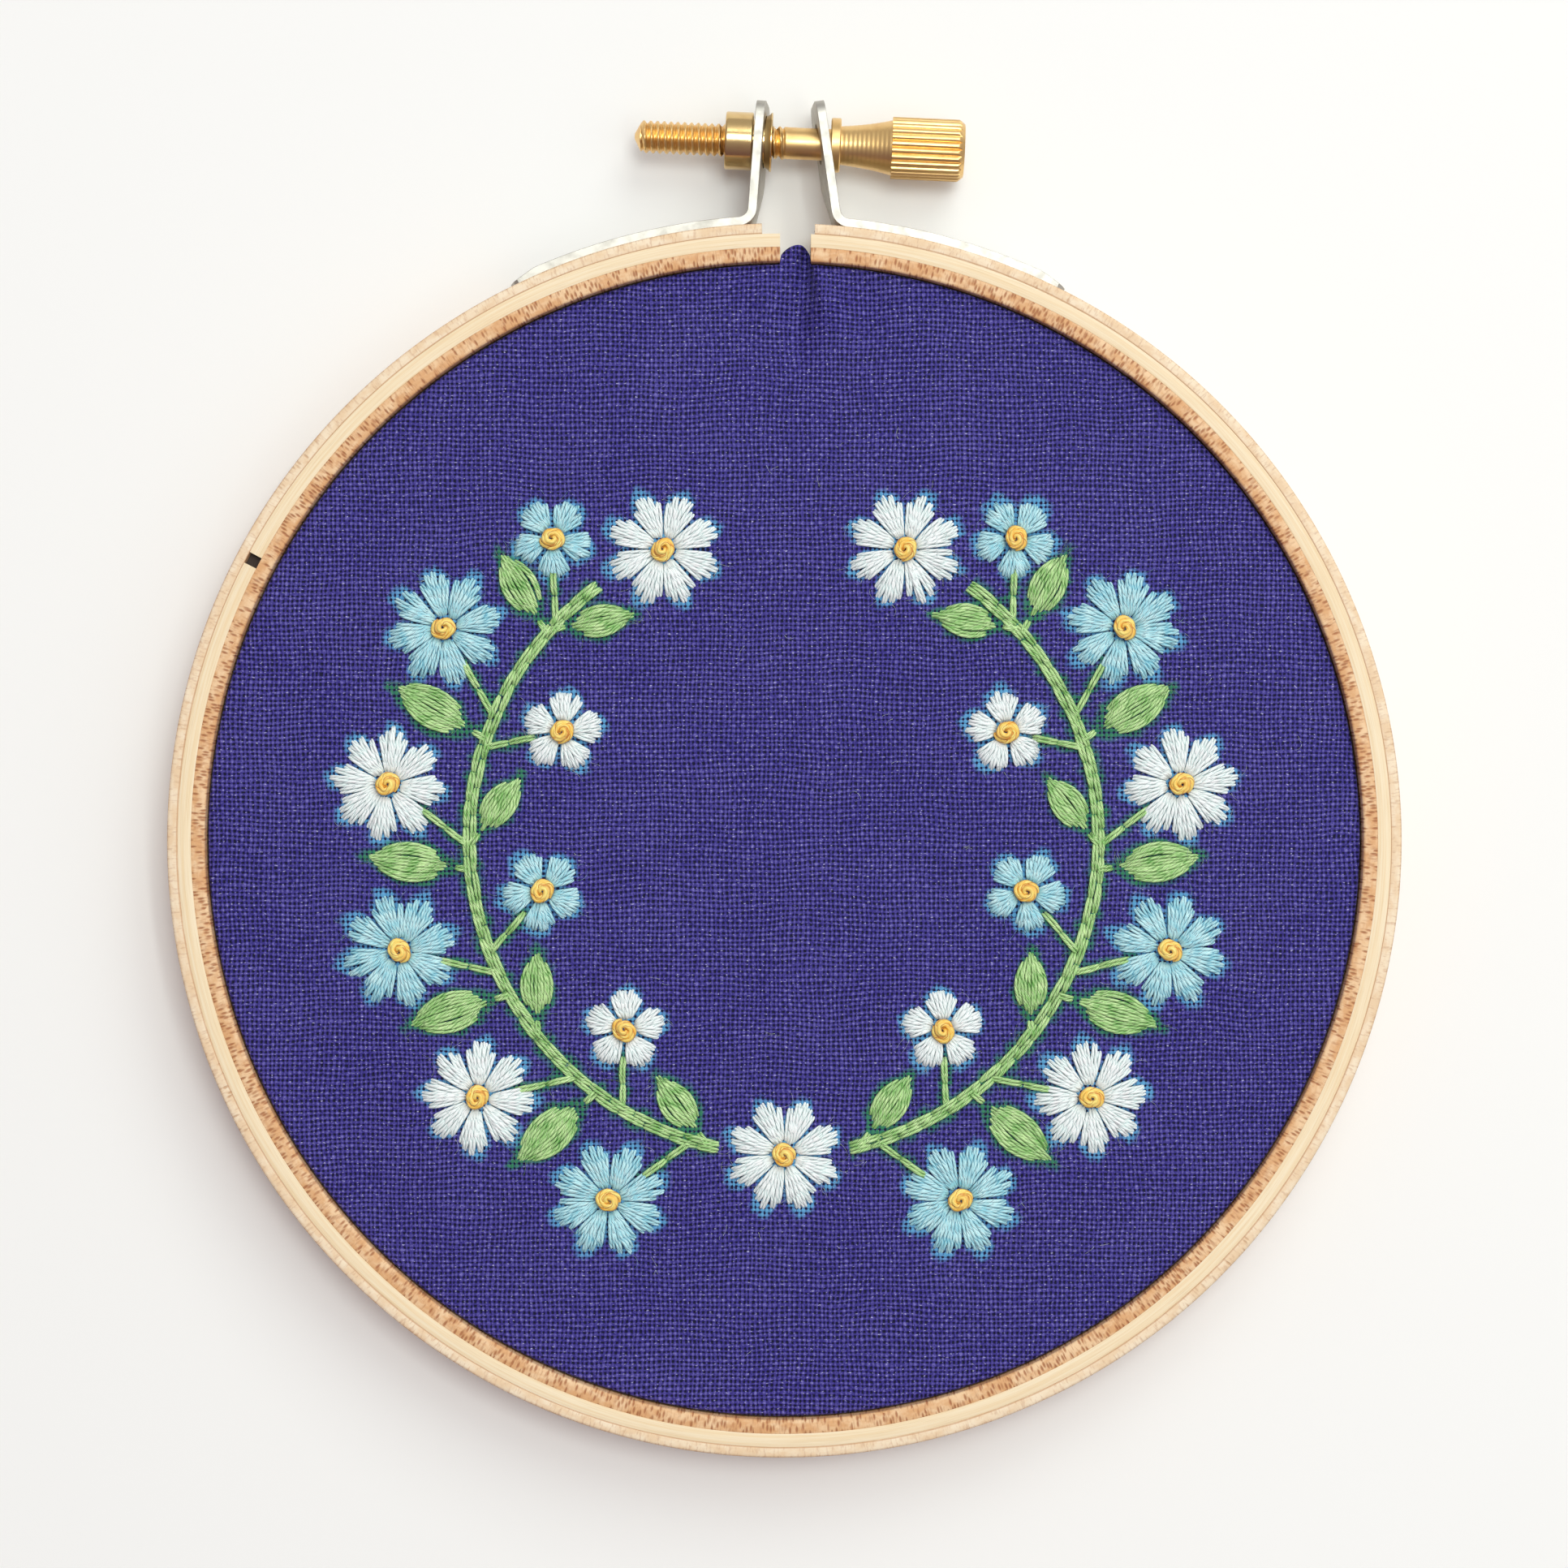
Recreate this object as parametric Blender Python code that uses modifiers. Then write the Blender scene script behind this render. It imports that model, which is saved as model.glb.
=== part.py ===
# Embroidery hoop with its stretched cloth and stitched wreath, lying on its back.
# Metres, +Z out of the front, +Y towards the screw, origin on the floor under the middle of the whole piece.
import math
from collections import namedtuple

import bmesh
import bpy
from mathutils import Matrix, Vector

MM = 0.001
HAIR = 0.01 * MM  # tells points apart
GAP = 0.3 * MM  # between neighbouring pieces

# Rings: the outer one is split at the top, glued up from three plies
TURN_STEPS = 72
RING_BORE = 51.4 * MM
RING_WALL = 3.4 * MM
RING_DEPTH = 8.5 * MM
RING_EDGE = 0.4 * MM
SKIN_PLY = 0.95 * MM
CORE_END_LEFT = -0.35 * MM
CORE_END_RIGHT = 2.39 * MM
SKIN_END_LEFT = -1.97 * MM
SKIN_END_RIGHT = 2.76 * MM
BUTT_JOINT_ANGLE = math.radians(152.2)
BUTT_JOINT_GAP = 1.05 * MM
BUTT_JOINT_DEPTH = 1.3 * MM
MIDDLE_PLY = 1.2 * MM
INNER_RING_WALL = 3.2 * MM

# Cloth, drawn over the inner ring and down between the two rings
CLOTH_THICK = 1.0 * MM
CLOTH_BELOW_FRONT = 0.9 * MM
CLOTH_RIM_ROUND = 0.7 * MM
CLOTH_ABOVE_FLOOR = 0.5 * MM
PLEAT_MIDDLE = 1.02 * MM
PLEAT_HALF_WIDTH = 0.95 * MM
PLEAT_TIP = 52.9 * MM
PLEAT_TAPER = 0.8
CREASE_LENGTH = 6.5 * MM
CREASE_RADIUS = 0.65 * MM
CREASE_TIP = 0.05 * MM
CREASE_LEAN = math.radians(12)

# Steel plates: an arc on the outer ring, then a leaning lug
PLATE_THICK = 0.8 * MM
PLATE_BACK = 1.0 * MM
PLATE_WIDTH = 6.3 * MM
PLATE_TOP = 66.1 * MM
PLATE_BEND = 1.3 * MM
PLATE_CORNER = 1.3 * MM
PLATE_TWIST = math.radians(4)
PLATE_END_TAPER = 2.5 * MM
PLATE_END_THICK = 0.4  # of its thickness
Plate = namedtuple("Plate", "name side free_end foot lean hole")
PLATES = (
    Plate("plate_left", -1, math.radians(26.2), 2.93 * MM, math.radians(4.4), 2.35 * MM),
    Plate("plate_right", 1, math.radians(27.0), 4.80 * MM, math.radians(8.1), 1.80 * MM),
)

# Brass screw, measured along its axis from the tip
SCREW_TIP = Vector((-13.4 * MM, 63.2 * MM))
SCREW_TILT = math.radians(2.6)
SCREW_STEPS = 16
THREAD_RADIUS = 1.45 * MM
THREAD_ROOT = 1.22 * MM
THREAD_PITCH = 0.61 * MM
THREAD_START = 0.6 * MM
THREAD_TURNS = 21
SHANK_RADIUS = 1.42 * MM
COLLAR_START = 18.07 * MM
COLLAR_LENGTH = 0.8 * MM
COLLAR_RADIUS = 2.43 * MM
NECK_RADIUS = 1.72 * MM
HEAD_START = 23.1 * MM
SCREW_LENGTH = 29.6 * MM
HEAD_RADIUS = 2.78 * MM
KNURL_RIDGES = 26
KNURL_DEPTH = 0.18 * MM
KNURL_CORE = HEAD_RADIUS - KNURL_DEPTH - 0.1 * MM
HEAD_CHAMFER = 0.35 * MM
TIP_POINT = (0.7 * MM, 0.1 * MM)  # radius and height where the tip is rounded off

# Brass nut, riveted through the left plate
NUT_START = 8.13 * MM
NUT_BARREL_END = 10.38 * MM
NUT_FLARE_START = 11.9 * MM
NUT_END = 12.4 * MM
NUT_BORE = 1.76 * MM
NUT_RADIUS = 2.58 * MM
NUT_NECK = 2.0 * MM
NUT_FLARE_ROOT = 2.2 * MM
NUT_FLARE = 2.62 * MM
NUT_STEPS = 24

# Stitched wreath: two mirrored sprigs that grow from a flower at the foot
WREATH_RADIUS = 28.0 * MM
STEM_RADIUS = 0.35 * MM
STEM_START = math.radians(-78)
STEM_END = math.radians(54)
STALK_LEAD = math.radians(9)
STITCH_THICK = 0.5 * MM
STITCH_TAPER = 0.93
KNOT_RADIUS = 1.1 * MM
KNOT_RISE = 0.45 * MM
Bloom = namedtuple("Bloom", "petals radius waist")
LARGE = Bloom(8, 5.2 * MM, 0.42)
SMALL = Bloom(5, 3.7 * MM, 0.45)
# Angles in degrees round the wreath from +X; reach is outwards from the stem
Flower = namedtuple("Flower", "bloom floss angle reach")
SPRIG_FLOWERS = (
    Flower(LARGE, "blue", -64, 7.6 * MM),
    Flower(SMALL, "white", -50, -6.0 * MM),
    Flower(LARGE, "white", -40, 7.6 * MM),
    Flower(LARGE, "blue", -16, 7.6 * MM),
    Flower(SMALL, "blue", -12, -6.0 * MM),
    Flower(LARGE, "white", 8, 7.6 * MM),
    Flower(SMALL, "white", 26, -6.0 * MM),
    Flower(LARGE, "blue", 32, 7.6 * MM),
    Flower(SMALL, "blue", 52.5, 5.8 * MM),
    Flower(LARGE, "white", 67.5, 0.0),
)
# Side is 1 outside the stem and -1 inside; spread in degrees is how far the leaf turns from the stem
Leaf = namedtuple("Leaf", "angle side length spread")
SPRIG_LEAVES = (
    Leaf(-76, -1, 6.5 * MM, 40),
    Leaf(-53.3, 1, 8.3 * MM, 78),
    Leaf(-38.5, -1, 6.4 * MM, 38),
    Leaf(-29.3, 1, 8.3 * MM, 78),
    Leaf(-5.3, 1, 8.3 * MM, 78),
    Leaf(-1, -1, 6.4 * MM, 38),
    Leaf(18.7, 1, 8.3 * MM, 78),
    Leaf(41, 1, 7.0 * MM, 70),
    Leaf(42, -1, 6.5 * MM, 38),
)
LEAF_STALK = 1.5 * MM
LEAF_WIDTH = 0.42  # of its length

RING_RADIUS = RING_BORE + RING_WALL
MIDDLE_OUT = RING_RADIUS - SKIN_PLY
CLOTH_TOP = RING_DEPTH - CLOTH_BELOW_FRONT
CLOTH_RADIUS = RING_BORE - GAP
STITCH_BOTTOM = CLOTH_TOP + GAP
CENTRE_Y = (RING_RADIUS - PLATE_TOP) / 2  # the ring's centre, with the piece's box centred on the origin

COLOURS = {
    "beech": ((0.80, 0.60, 0.38), 0.6, 0.0),
    "indigo": ((0.045, 0.035, 0.20), 0.9, 0.0),
    "steel": ((0.55, 0.54, 0.52), 0.35, 1.0),
    "brass": ((0.78, 0.56, 0.25), 0.25, 1.0),
    "white": ((0.80, 0.85, 0.86), 0.7, 0.0),
    "blue": ((0.25, 0.56, 0.68), 0.7, 0.0),
    "green": ((0.22, 0.47, 0.15), 0.7, 0.0),
}


def clear_scene():
    for thing in list(bpy.data.objects):
        bpy.data.objects.remove(thing)


def collection(name):
    made = bpy.data.collections.new(name)
    bpy.context.scene.collection.children.link(made)
    return made


def material(name):
    colour, roughness, metallic = COLOURS[name]
    made = bpy.data.materials.get(name)
    if made is None:
        made = bpy.data.materials.new(name)
        made.use_nodes = True
        shader = made.node_tree.nodes["Principled BSDF"]
        shader.inputs["Base Color"].default_value = (*colour, 1)
        shader.inputs["Roughness"].default_value = roughness
        shader.inputs["Metallic"].default_value = metallic
    return made


def place(name, mesh, parent, finish=None):
    """Puts a mesh into the model, or among the pieces that cut or join it when it has no finish."""
    thing = bpy.data.objects.new(name, mesh)
    thing.parent = parent
    if finish is None:
        cutters.objects.link(thing)
        thing.hide_render = True
        thing.display_type = "WIRE"
    else:
        model.objects.link(thing)
        mesh.materials.append(material(finish))
        mesh.shade_smooth()
        mesh.set_sharp_from_angle(angle=math.radians(35))
    return thing


def axis_empty(name, location, rotation=(0, 0, 0)):
    empty = bpy.data.objects.new(name, None)
    model.objects.link(empty)
    empty.location = location
    empty.rotation_euler = rotation
    return empty


def turned(name, profile, steps, parent, finish, closed):
    """A profile of (radius, height), outer side from top to bottom, turned about Z."""
    mesh = bpy.data.meshes.new(name)
    count = len(profile)
    edges = [(k, (k + 1) % count) for k in range(count if closed else count - 1)]
    mesh.from_pydata([(radius, 0, height) for radius, height in profile], edges, [])
    thing = place(name, mesh, parent, finish)
    screw = thing.modifiers.new("turn", "SCREW")
    screw.axis = "Z"
    screw.steps = steps
    screw.render_steps = steps
    screw.use_merge_vertices = True
    screw.merge_threshold = 0.00001
    return thing


def prism_mesh(name, outline, bottom, top, taper=1.0):
    """A closed outline in X and Y raised from bottom to top, its upper edge drawn in by taper."""
    curve = bpy.data.curves.new(name, "CURVE")
    curve.dimensions = "2D"
    curve.fill_mode = "BOTH"
    curve.extrude = (top - bottom) / 2
    spline = curve.splines.new("POLY")
    spline.points.add(len(outline) - 1)
    for point, (x, y) in zip(spline.points, outline):
        point.co = (x, y, 0, 1)
    spline.use_cyclic_u = True
    mesh = curve_to_mesh(name, curve)
    middle = sum((Vector(point) for point in outline), Vector((0, 0))) / len(outline)
    for vertex in mesh.vertices:
        if vertex.co.z > 0:
            vertex.co.xy = middle + (vertex.co.xy - middle) * taper
        vertex.co.z += (top + bottom) / 2
    return mesh


def curve_to_mesh(name, curve):
    """The curve's surface as one closed mesh, its caps welded on."""
    guide = bpy.data.objects.new(name, curve)
    model.objects.link(guide)
    bpy.context.view_layer.update()
    mesh = bpy.data.meshes.new_from_object(guide.evaluated_get(bpy.context.evaluated_depsgraph_get()))
    bpy.data.objects.remove(guide)
    bpy.data.curves.remove(curve)
    welded = bmesh.new()
    welded.from_mesh(mesh)
    bmesh.ops.remove_doubles(welded, verts=welded.verts, dist=0.000001)
    bmesh.ops.recalc_face_normals(welded, faces=welded.faces)
    welded.to_mesh(mesh)
    welded.free()
    mesh.name = name
    return mesh


def box_cutter(name, low, high, parent, turn=0.0):
    """A box between two corners, turned about Z at its parent."""
    mesh = bpy.data.meshes.new(name)
    box = bmesh.new()
    size = Vector(high) - Vector(low)
    middle = (Vector(high) + Vector(low)) / 2
    bmesh.ops.create_cube(box, size=1, matrix=Matrix.Translation(middle) @ Matrix.Diagonal((*size, 1)))
    box.to_mesh(mesh)
    box.free()
    cutter = place(name, mesh, parent)
    cutter.rotation_euler.z = turn
    return cutter


def cone_mesh(name, radius_low, radius_high, low, high, sides):
    """A round bar or cone about Z between two heights."""
    mesh = bpy.data.meshes.new(name)
    cone = bmesh.new()
    bmesh.ops.create_cone(
        cone,
        cap_ends=True,
        segments=sides,
        radius1=radius_low,
        radius2=radius_high,
        depth=high - low,
        matrix=Matrix.Translation((0, 0, (low + high) / 2)),
    )
    cone.to_mesh(mesh)
    cone.free()
    return mesh


def boolean(target, operand, operation):
    change = target.modifiers.new(operand.name, "BOOLEAN")
    change.operation = operation
    change.object = operand
    change.solver = "EXACT"


def polar(angle, radius):
    return Vector((radius * math.cos(angle), radius * math.sin(angle)))


def ring_section(inner, outer, top):
    """A ring's rectangle with eased front and back edges, its outer side from top to bottom."""
    edge = RING_EDGE
    return [
        (inner + edge, top),
        (outer - edge, top),
        (outer, top - edge),
        (outer, edge),
        (outer - edge, 0),
        (inner + edge, 0),
        (inner, edge),
        (inner, top - edge),
    ]


def make_outer_ring(hoop):
    section = ring_section(RING_BORE, RING_RADIUS, RING_DEPTH)
    ring = turned("outer_ring", section, TURN_STEPS, hoop, "beech", True)
    beyond = 2 * MM
    top = RING_DEPTH + beyond
    split = box_cutter(
        "split_cutter",
        (CORE_END_LEFT, RING_BORE - beyond, -beyond),
        (CORE_END_RIGHT, RING_RADIUS + beyond, top),
        hoop,
    )
    step = box_cutter(
        "ply_step_cutter",
        (SKIN_END_LEFT, MIDDLE_OUT, -beyond),
        (SKIN_END_RIGHT, RING_RADIUS + beyond, top),
        hoop,
    )
    joint = box_cutter(
        "butt_joint_cutter",
        (MIDDLE_OUT - MIDDLE_PLY, -BUTT_JOINT_GAP / 2, RING_DEPTH - BUTT_JOINT_DEPTH),
        (MIDDLE_OUT, BUTT_JOINT_GAP / 2, top),
        hoop,
        BUTT_JOINT_ANGLE,
    )
    for cutter in (split, step, joint):
        boolean(ring, cutter, "DIFFERENCE")


def make_inner_ring(hoop):
    outer = CLOTH_RADIUS - CLOTH_THICK - GAP
    top = CLOTH_TOP - CLOTH_THICK - GAP
    section = ring_section(outer - INNER_RING_WALL, outer, top)
    turned("inner_ring", section, TURN_STEPS, hoop, "beech", True)


def make_cloth(hoop):
    """The stretched disc and its turned-down rim, with the fold that stands out through the ring's split."""
    inner = CLOTH_RADIUS - CLOTH_THICK
    under = CLOTH_TOP - CLOTH_THICK
    start = CLOTH_RADIUS - CLOTH_RIM_ROUND
    rim = [
        (
            start + CLOTH_RIM_ROUND * math.sin(turn * math.pi / 6),
            CLOTH_TOP - CLOTH_RIM_ROUND * (1 - math.cos(turn * math.pi / 6)),
        )
        for turn in range(4)
    ]
    foot = [(CLOTH_RADIUS, CLOTH_ABOVE_FLOOR), (inner, CLOTH_ABOVE_FLOOR), (inner, under), (0, under)]
    cloth = turned("ground_cloth", [(0, CLOTH_TOP), *rim, *foot], TURN_STEPS, hoop, "indigo", False)
    root = CLOTH_RADIUS - CLOTH_THICK / 2
    pleat_outline = [
        (
            PLEAT_MIDDLE + PLEAT_HALF_WIDTH * math.cos(step * math.pi / 10),
            root + (PLEAT_TIP - root) * math.sin(step * math.pi / 10),
        )
        for step in range(11)
    ]
    fold = prism_mesh("pleat", pleat_outline, CLOTH_ABOVE_FLOOR + GAP, CLOTH_TOP - GAP, PLEAT_TAPER)
    boolean(cloth, place("pleat", fold, hoop), "UNION")
    cone = cone_mesh("crease_cutter", CREASE_RADIUS, CREASE_TIP, 0, CREASE_LENGTH, 8)
    crease = place("crease_cutter", cone, hoop)
    crease.location = (PLEAT_MIDDLE, CLOTH_RADIUS, CLOTH_TOP)
    crease.rotation_euler = (math.pi / 2, 0, CREASE_LEAN)
    boolean(cloth, crease, "DIFFERENCE")


def plate_centreline(plate):
    """Points along the middle of the plate: round the ring, through the bend, up the lug."""
    side = plate.side
    radius = RING_RADIUS + GAP + PLATE_THICK / 2
    lug = Vector((-side * math.sin(plate.lean), math.cos(plate.lean)))
    foot = Vector((side * plate.foot, RING_RADIUS))
    away = Vector((side * math.cos(plate.lean), math.sin(plate.lean)))
    # The bend's middle lies one bend radius from the lug's line and from the arc
    bend_line = foot + away * PLATE_BEND
    along = bend_line.dot(lug)
    reach = -along + math.sqrt(along**2 - bend_line.length_squared + (radius + PLATE_BEND) ** 2)
    middle = bend_line + lug * reach
    arc_end = math.atan2(middle.y, middle.x)
    arc_start = math.pi / 2 - side * plate.free_end
    arc = [polar(arc_start + (arc_end - arc_start) * k / 9, radius) for k in range(10)]
    turn_start = arc_end + math.pi
    turn_end = math.atan2(-away.y, -away.x)
    sweep = (turn_end - turn_start + math.pi) % (2 * math.pi) - math.pi
    bend = [middle + polar(turn_start + sweep * k / 5, PLATE_BEND) for k in range(1, 6)]
    height = (PLATE_TOP - PLATE_THICK / 2 * math.sin(plate.lean) - foot.y) / lug.y
    return arc + bend + [foot + lug * height]


def strip_outline(points, thickness, end_taper):
    """Both sides of a strip along points, thinned over end_taper at its first end."""
    sides = ([], [])
    travelled = 0.0
    for k, point in enumerate(points):
        before = points[max(k - 1, 0)]
        after = points[min(k + 1, len(points) - 1)]
        travelled += (point - before).length
        across = (after - before).normalized().orthogonal()
        half = thickness / 2 * min(1.0, PLATE_END_THICK + (1 - PLATE_END_THICK) * travelled / end_taper)
        inwards = (thickness / 2 - half) * (-1 if across.dot(point) > 0 else 1)
        sides[0].append(point + across * (inwards + half))
        sides[1].append(point + across * (inwards - half))
    return sides[0] + sides[1][::-1]


def make_plate(plate, hoop, screw_axis):
    outline = strip_outline(plate_centreline(plate), PLATE_THICK, PLATE_END_TAPER)
    mesh = prism_mesh(plate.name, outline, PLATE_BACK, PLATE_BACK + PLATE_WIDTH)
    shape = bmesh.new()
    shape.from_mesh(mesh)
    bmesh.ops.dissolve_limit(shape, angle_limit=0.001, verts=shape.verts, edges=shape.edges)
    corners = [
        edge
        for edge in shape.edges
        if all(vertex.co.y > PLATE_TOP - PLATE_THICK for vertex in edge.verts)
        and abs(edge.verts[0].co.z - edge.verts[1].co.z) < HAIR
    ]
    bmesh.ops.bevel(shape, geom=corners, offset=PLATE_CORNER, segments=4, profile=0.5, affect="EDGES")
    twist_from = RING_RADIUS + PLATE_BEND
    for vertex in shape.verts:
        rise = min(max((vertex.co.y - twist_from) / (2 * PLATE_BEND), 0), 1)
        behind_front = PLATE_BACK + PLATE_WIDTH - vertex.co.z
        vertex.co.x -= plate.side * math.tan(PLATE_TWIST) * behind_front * rise
    shape.to_mesh(mesh)
    shape.free()
    made = place(plate.name, mesh, hoop, "steel")
    bar = cone_mesh(plate.name + "_hole", plate.hole, plate.hole, 0, SCREW_LENGTH, NUT_STEPS)
    boolean(made, place(plate.name + "_hole", bar, screw_axis), "DIFFERENCE")


def make_screw(screw_axis):
    """Knurled head, neck, collar, plain shank and thread, turned about the axis."""
    tip = [(THREAD_ROOT, THREAD_START), TIP_POINT, (0, 0)]
    thread = []
    for turn in range(THREAD_TURNS, 0, -1):
        root = THREAD_START + turn * THREAD_PITCH
        thread += [(THREAD_ROOT, root), (THREAD_RADIUS, root - THREAD_PITCH / 2)]
    shank_start = THREAD_START + (THREAD_TURNS + 0.5) * THREAD_PITCH
    collar_end = COLLAR_START + COLLAR_LENGTH
    body = [
        (0, SCREW_LENGTH - HEAD_CHAMFER),
        (KNURL_CORE, SCREW_LENGTH - HEAD_CHAMFER),
        (KNURL_CORE, HEAD_START + HEAD_CHAMFER),
        (COLLAR_RADIUS, HEAD_START),
        (NECK_RADIUS, collar_end),
        (COLLAR_RADIUS, collar_end),
        (COLLAR_RADIUS, COLLAR_START),
        (SHANK_RADIUS, COLLAR_START),
        (SHANK_RADIUS, shank_start),
    ]
    screw = turned("tension_screw", body + thread + tip, SCREW_STEPS, screw_axis, "brass", False)
    corners = range(2 * KNURL_RIDGES)
    outline = [polar(math.pi * k / KNURL_RIDGES, HEAD_RADIUS - KNURL_DEPTH * (k % 2)) for k in corners]
    head = prism_mesh("knurled_head", outline, HEAD_START, SCREW_LENGTH)
    shape = bmesh.new()
    shape.from_mesh(head)
    bmesh.ops.dissolve_limit(shape, angle_limit=0.001, verts=shape.verts, edges=shape.edges)
    rim = [edge for edge in shape.edges if all(vertex.co.z > SCREW_LENGTH - HAIR for vertex in edge.verts)]
    bmesh.ops.bevel(shape, geom=rim, offset=HEAD_CHAMFER, segments=1, affect="EDGES")
    shape.to_mesh(head)
    shape.free()
    boolean(screw, place("knurled_head", head, screw_axis), "UNION")


def make_nut(screw_axis):
    profile = [
        (NUT_BORE, NUT_END),
        (NUT_FLARE, NUT_END),
        (NUT_FLARE_ROOT, NUT_FLARE_START),
        (NUT_NECK, NUT_FLARE_START),
        (NUT_NECK, NUT_BARREL_END),
        (NUT_RADIUS, NUT_BARREL_END),
        (NUT_RADIUS, NUT_START),
        (NUT_BORE, NUT_START),
    ]
    turned("screw_nut", profile, NUT_STEPS, screw_axis, "brass", True)


def stem_point(angle, side, radius=WREATH_RADIUS):
    point = polar(angle, radius)
    return Vector((side * point.x, point.y))


def tube_mesh(name, routes, radius, height):
    """Round threads along routes in X and Y at one height."""
    curve = bpy.data.curves.new(name, "CURVE")
    curve.dimensions = "3D"
    curve.bevel_depth = radius
    curve.bevel_resolution = 1
    curve.use_fill_caps = True
    for route in routes:
        spline = curve.splines.new("POLY")
        spline.points.add(len(route) - 1)
        for point, place_at in zip(spline.points, route):
            point.co = (*place_at, height, 1)
    return curve_to_mesh(name, curve)


def flower_centre(flower, side):
    return stem_point(math.radians(flower.angle), side, WREATH_RADIUS + flower.reach)


def leaf_axis(leaf, side):
    """Where a leaf's stalk leaves the stem, and the way the leaf points, forwards and out."""
    angle = math.radians(leaf.angle)
    root = stem_point(angle, side)
    heading = angle + math.pi / 2 - leaf.side * math.radians(leaf.spread)
    direction = polar(heading, 1)
    return root, Vector((side * direction.x, direction.y))


def make_stem(name, side, hoop):
    height = STITCH_BOTTOM + STEM_RADIUS
    steps = 26
    main = [stem_point(STEM_START + (STEM_END - STEM_START) * k / steps, side) for k in range(steps + 1)]
    stalks = []
    for flower in SPRIG_FLOWERS[:-1]:
        start = stem_point(math.radians(flower.angle) - STALK_LEAD, side)
        centre = flower_centre(flower, side)
        end = centre + (start - centre).normalized() * (flower.bloom.radius + GAP)
        stalks.append([start, end])
    for leaf in SPRIG_LEAVES:
        root, direction = leaf_axis(leaf, side)
        stalks.append([root, root + direction * (LEAF_STALK - GAP)])
    stem = place(name, tube_mesh(name, [main], STEM_RADIUS, height), hoop, "green")
    branches = place(name + "_stalks", tube_mesh(name + "_stalks", stalks, 0.9 * STEM_RADIUS, height), hoop)
    boolean(stem, branches, "UNION")


def make_flower(name, bloom, floss, centre, turn, hoop):
    """Petals as a lobed pad, with the knot of the eye rising from its middle."""
    points = 6 * bloom.petals
    outline = []
    for k in range(points):
        lobe = abs(math.cos(bloom.petals * math.pi * k / points)) ** 0.7
        radius = bloom.radius * (bloom.waist + (1 - bloom.waist) * lobe)
        outline.append(centre + polar(turn + 2 * math.pi * k / points, radius))
    top = STITCH_BOTTOM + STITCH_THICK
    flower = place(name, prism_mesh(name, outline, STITCH_BOTTOM, top, STITCH_TAPER), hoop, floss)
    mesh = bpy.data.meshes.new(name + "_knot")
    knot = bmesh.new()
    squash = Matrix.Diagonal((1, 1, KNOT_RISE / KNOT_RADIUS, 1))
    bmesh.ops.create_uvsphere(knot, u_segments=10, v_segments=6, radius=KNOT_RADIUS, matrix=squash)
    knot.to_mesh(mesh)
    knot.free()
    eye = place(name + "_knot", mesh, hoop)
    eye.location = (*centre, top)
    boolean(flower, eye, "UNION")


def make_leaf(name, leaf, side, hoop):
    """A pointed oval pad that starts one stalk's length from the stem."""
    root, direction = leaf_axis(leaf, side)
    across = direction.orthogonal()
    steps = 7
    width = leaf.length * LEAF_WIDTH
    edges = ([], [])
    for k in range(steps + 1):
        along = k / steps
        half = width / 2 * math.sin(math.pi * along**0.8)
        point = root + direction * (LEAF_STALK + leaf.length * along)
        edges[0].append(point + across * half)
        edges[1].append(point - across * half)
    outline = edges[0] + edges[1][-2:0:-1]
    top = STITCH_BOTTOM + STITCH_THICK
    place(name, prism_mesh(name, outline, STITCH_BOTTOM, top, STITCH_TAPER), hoop, "green")


def make_embroidery(hoop):
    foot = stem_point(-math.pi / 2, 1)
    make_flower("flower_foot_white", LARGE, "white", foot, math.pi / 8, hoop)
    for side, word in ((-1, "left"), (1, "right")):
        make_stem(f"stem_{word}", side, hoop)
        for number, flower in enumerate(SPRIG_FLOWERS, 1):
            centre = flower_centre(flower, side)
            turn = math.atan2(centre.y, centre.x)
            name = f"flower_{word}_{number}_{flower.floss}"
            make_flower(name, flower.bloom, flower.floss, centre, turn, hoop)
        for number, leaf in enumerate(SPRIG_LEAVES, 1):
            make_leaf(f"leaf_{word}_{number}", leaf, side, hoop)


clear_scene()
model = collection("embroidery_hoop")
cutters = collection("cutters")
hoop_centre = axis_empty("hoop_centre", (0, CENTRE_Y, 0))
plate_middle = PLATE_BACK + PLATE_WIDTH / 2
screw_line = axis_empty(
    "screw_line",
    (SCREW_TIP.x, SCREW_TIP.y + CENTRE_Y, plate_middle),
    (0, math.pi / 2, -SCREW_TILT),
)
make_outer_ring(hoop_centre)
make_inner_ring(hoop_centre)
make_cloth(hoop_centre)
for steel in PLATES:
    make_plate(steel, hoop_centre, screw_line)
make_screw(screw_line)
make_nut(screw_line)
make_embroidery(hoop_centre)
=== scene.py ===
import math

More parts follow.
